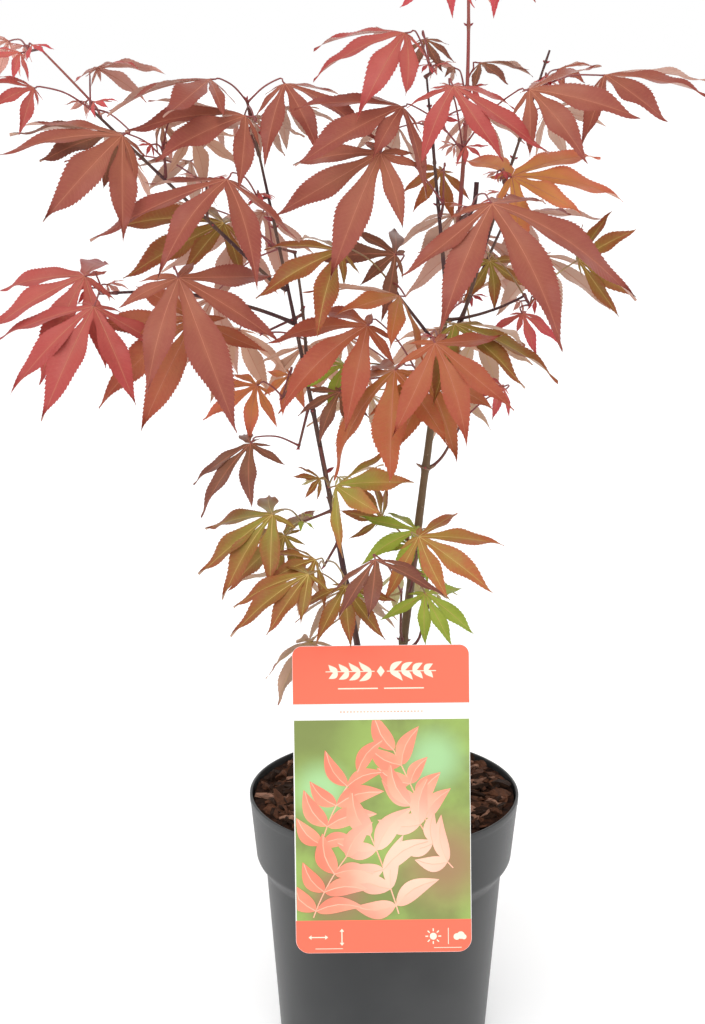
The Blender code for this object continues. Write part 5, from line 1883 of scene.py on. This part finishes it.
    def draw_sprigs(self, films, side):
        """Draw curved sprigs of plain pointed leaves inside the picture, one over the other."""
        rng = random.Random(SEED)
        shades = (films["tag_sprigs"], films["tag_shaded_sprigs"])
        ribs = films["tag_sprig_ribs"]
        level = 0
        for *bends, length, width, pairs in SPRIGS:
            path = bowed_path([(x, FOOT_BAND_TOP + y) for x, y in bends], 20)
            add_film(ribs, stroke(path, 0.8), SPRIG_LIFT + level * SPRIG_STEP)
            for pair in range(pairs + 1):
                index = round(2 + pair * 18 / pairs)
                x, y = path[index]
                behind = path[index - 1]
                course = math.degrees(math.atan2(y - behind[1], x - behind[0]))
                turns = (0,) if pair == pairs else (-rng.uniform(30, 78), rng.uniform(30, 78))
                for turn in turns:
                    size = length * rng.uniform(0.75, 1.15)
                    breadth = width * rng.uniform(0.8, 1.15)
                    one, other, rib = oval_leaf(x, y, course + turn, size, breadth)
                    level += 1
                    lift = SPRIG_LIFT + level * SPRIG_STEP
                    light = rng.choice((0, 1))
                    self.add_held(shades[light], one, side, lift)
                    self.add_held(shades[1 - light], other, side, lift)
                    self.add_held(ribs, rib, side, lift + SPRIG_STEP / 2)

    def add_held(self, batch, outline, side, lift):
        """Add a shape, held inside the picture's edges."""
        right, low, high = side - 0.8, FOOT_BAND_TOP + 0.4, PICTURE_TOP - 0.4
        held = [(min(max(x, -right), right), min(max(y, low), high)) for x, y in outline]
        add_film(batch, held, lift)

    def draw_signs(self, signs):
        """Draw the plain signs of the lower band and the ornament of the upper one."""

        def draw(outline, lift=0):
            add_film(signs, outline, SIGN_LIFT + lift)

        level = SIGN_LEVEL
        draw(double_arrow(-43, level, 6.4, False))
        draw(double_arrow(-27.5, level, 5.6, True))
        sun = 32.5
        draw(disc(sun, level, 2.3, 24))
        for ray in range(8):
            angle = math.radians(45 * ray)
            ends = [(sun + r * math.cos(angle), level + r * math.sin(angle)) for r in (3.3, 5.2)]
            draw(stroke(ends, 0.8))
        draw(stroke([(42.4, level - 5.4), (42.4, level + 5.4)], 0.45))
        for x, rise, radius in ((48.0, -0.4, 2.2), (50.6, 0.5, 2.5), (52.6, -0.6, 1.7)):
            draw(disc(x, level + rise, radius, 20), 0.01 * radius)
        for middle in (-36, 42):
            draw(stroke([(middle - 9, level - 7.6), (middle + 9, level - 7.6)], 0.4))
        level = ORNAMENT_LEVEL
        for way in (-1, 1):
            for step in range(4):
                x = way * (6 + step * 7.4)
                for rise in (-1, 1):
                    heading = (0 if way == 1 else 180) + way * rise * 38
                    for half in oval_leaf(x, level, heading, 10.4 - step, 4.2)[:2]:
                        draw(half, 0.01 * rise)
            draw(stroke([(way * 4, level), (way * 36, level)], 0.6), 0.02)
            draw(stroke([(way * 2, RULE_LEVEL), (way * 28, RULE_LEVEL)], 0.8))
        draw([(0, level - 3.6), (2.6, level), (0, level + 3.6), (-2.6, level)], 0.03)

    def add_blurs(self, material, blurs, finish):
        """Lay large soft patches of other colours over a print."""
        tree = material.node_tree
        base = tree.nodes["Principled BSDF"].inputs["Base Color"]
        colour = base.links[0].from_socket
        place = tree.nodes.new("ShaderNodeTexCoord")
        for x, y, radius, share, tint in blurs:
            distance = tree.nodes.new("ShaderNodeVectorMath")
            distance.operation = "DISTANCE"
            tree.links.new(place.outputs["Object"], distance.inputs[0])
            distance.inputs[1].default_value = tag_place() @ Vector((x, y, 0)) * MM
            near, far = radius * 0.15 * MM, radius * MM
            blur = ramp(tree, distance.outputs["Value"], near, far, share, 0.0)
            colour = mix_colours(tree, blur, colour, opaque(getattr(finish, tint)))
        tree.links.new(colour, base)


# Stage

AIM = Vector((0, 0, 0.42))
KEY_ANGLE = 55
KEY_PLACE = (-0.35, -1.5, 2.6)
LAMPS = {"left": (-2.0, -0.2, 0.9), "right": (2.0, -0.4, 1.1), "behind": (0.3, 1.9, 1.6)}
LAMP_SIZE = 1.2


def add_lamp(name, kind, place, energy):
    """Set a lamp that looks at the plant, and return its data."""
    light = bpy.data.lights.new(name, kind)
    light.energy = energy
    lamp = in_scene(name, light)
    lamp.location = place
    lamp.rotation_euler = (AIM - lamp.location).to_track_quat("-Z", "Y").to_euler()
    return light


class MAPLE_OT_stage(bpy.types.Operator):
    """Lay the pale floor and set the soft lights and the camera."""

    bl_idname = "maple.stage"
    bl_label = "Stage"

    def execute(self, context):
        finish = context.scene.maple_stage
        scene = context.scene
        self.lay_floor(finish)
        scene.world = self.surroundings(finish)
        scene.view_settings.view_transform = "Standard"
        add_lamp("key", "SUN", KEY_PLACE, finish.key).angle = math.radians(KEY_ANGLE)
        for name, place in LAMPS.items():
            add_lamp(name, "AREA", place, finish.fill).size = LAMP_SIZE
        lens = bpy.data.cameras.new("camera")
        lens.lens = finish.lens
        lens.sensor_width = 36
        lens.clip_start = 0.01
        scene.camera = in_scene("camera", lens)
        scene.camera.location = finish.camera_place
        scene.camera.rotation_euler = (math.pi / 2 - finish.camera_pitch, 0, 0)
        return {"FINISHED"}

    def lay_floor(self, finish):
        """Lay a wide round floor that glows faintly."""
        shape = bmesh.new()
        bmesh.ops.create_circle(shape, cap_ends=True, segments=96, radius=40)
        floor = solidify("floor", shape)
        material = mottled_material("floor", finish.floor, FINISHES["floor"])
        surface = material.node_tree.nodes["Principled BSDF"].inputs
        surface["Emission Color"].default_value = (1, 1, 1, 1)
        surface["Emission Strength"].default_value = finish.glow
        floor.data.materials.append(material)

    def surroundings(self, finish):
        """Return a world that is white all round and dimmer overhead."""
        world = bpy.data.worlds.new("studio")
        world.use_nodes = True
        tree = world.node_tree
        place = tree.nodes.new("ShaderNodeTexCoord")
        height = tree.nodes.new("ShaderNodeSeparateXYZ")
        tree.links.new(place.outputs["Generated"], height.inputs["Vector"])
        share = ramp(tree, height.outputs["Z"], 0.34, 0.70, 1.0, finish.overhead)
        tree.links.new(share, tree.nodes["Background"].inputs["Color"])
        tree.nodes["Background"].inputs["Strength"].default_value = finish.sky
        return world


# Add-on

SETTINGS = {
    "maple_pot": MAPLE_PG_pot,
    "maple_tag": MAPLE_PG_tag,
    "maple_bark": MAPLE_PG_bark,
    "maple_leaf": MAPLE_PG_leaf,
    "maple_stage": MAPLE_PG_stage,
}


class MAPLE_PT_panel(bpy.types.Panel):
    """List the steps and their settings."""

    bl_idname = "MAPLE_PT_panel"
    bl_label = "Potted Japanese Maple"
    bl_space_type = "VIEW_3D"
    bl_region_type = "UI"
    bl_category = "Maple"

    def draw(self, context):
        for group, label, operators in (
            ("maple_pot", "Pot", ("pot", "growing_mix")),
            ("maple_tag", "Tag", ("tag",)),
            ("maple_bark", "Stems", ("limbs",)),
            ("maple_leaf", "Leaves", ("twigs", "leaves")),
            ("maple_stage", "Stage", ("stage",)),
        ):
            box = self.layout.box()
            box.label(text=label)
            settings = getattr(context.scene, group)
            for name in settings.__annotations__:
                box.prop(settings, name)
            for operator in operators:
                box.operator(f"maple.{operator}")


CLASSES = (
    *SETTINGS.values(),
    MAPLE_OT_pot,
    MAPLE_OT_growing_mix,
    MAPLE_OT_tag,
    MAPLE_OT_limbs,
    MAPLE_OT_twigs,
    MAPLE_OT_leaves,
    MAPLE_OT_stage,
    MAPLE_PT_panel,
)


def register():
    """Register the classes and hang the settings on the scene."""
    for kind in CLASSES:
        bpy.utils.register_class(kind)
    for name, group in SETTINGS.items():
        setattr(bpy.types.Scene, name, PointerProperty(type=group))


def unregister():
    """Take the settings off the scene and unregister the classes."""
    for name in SETTINGS:
        delattr(bpy.types.Scene, name)
    for kind in reversed(CLASSES):
        bpy.utils.unregister_class(kind)


def main():
    """Build every piece in order."""
    register()
    bpy.ops.maple.pot()
    bpy.ops.maple.growing_mix()
    bpy.ops.maple.tag()
    bpy.ops.maple.limbs()
    bpy.ops.maple.twigs()
    bpy.ops.maple.leaves()
    bpy.ops.maple.stage()
    bpy.context.view_layer.update()


if __name__ == "__main__":
    main()
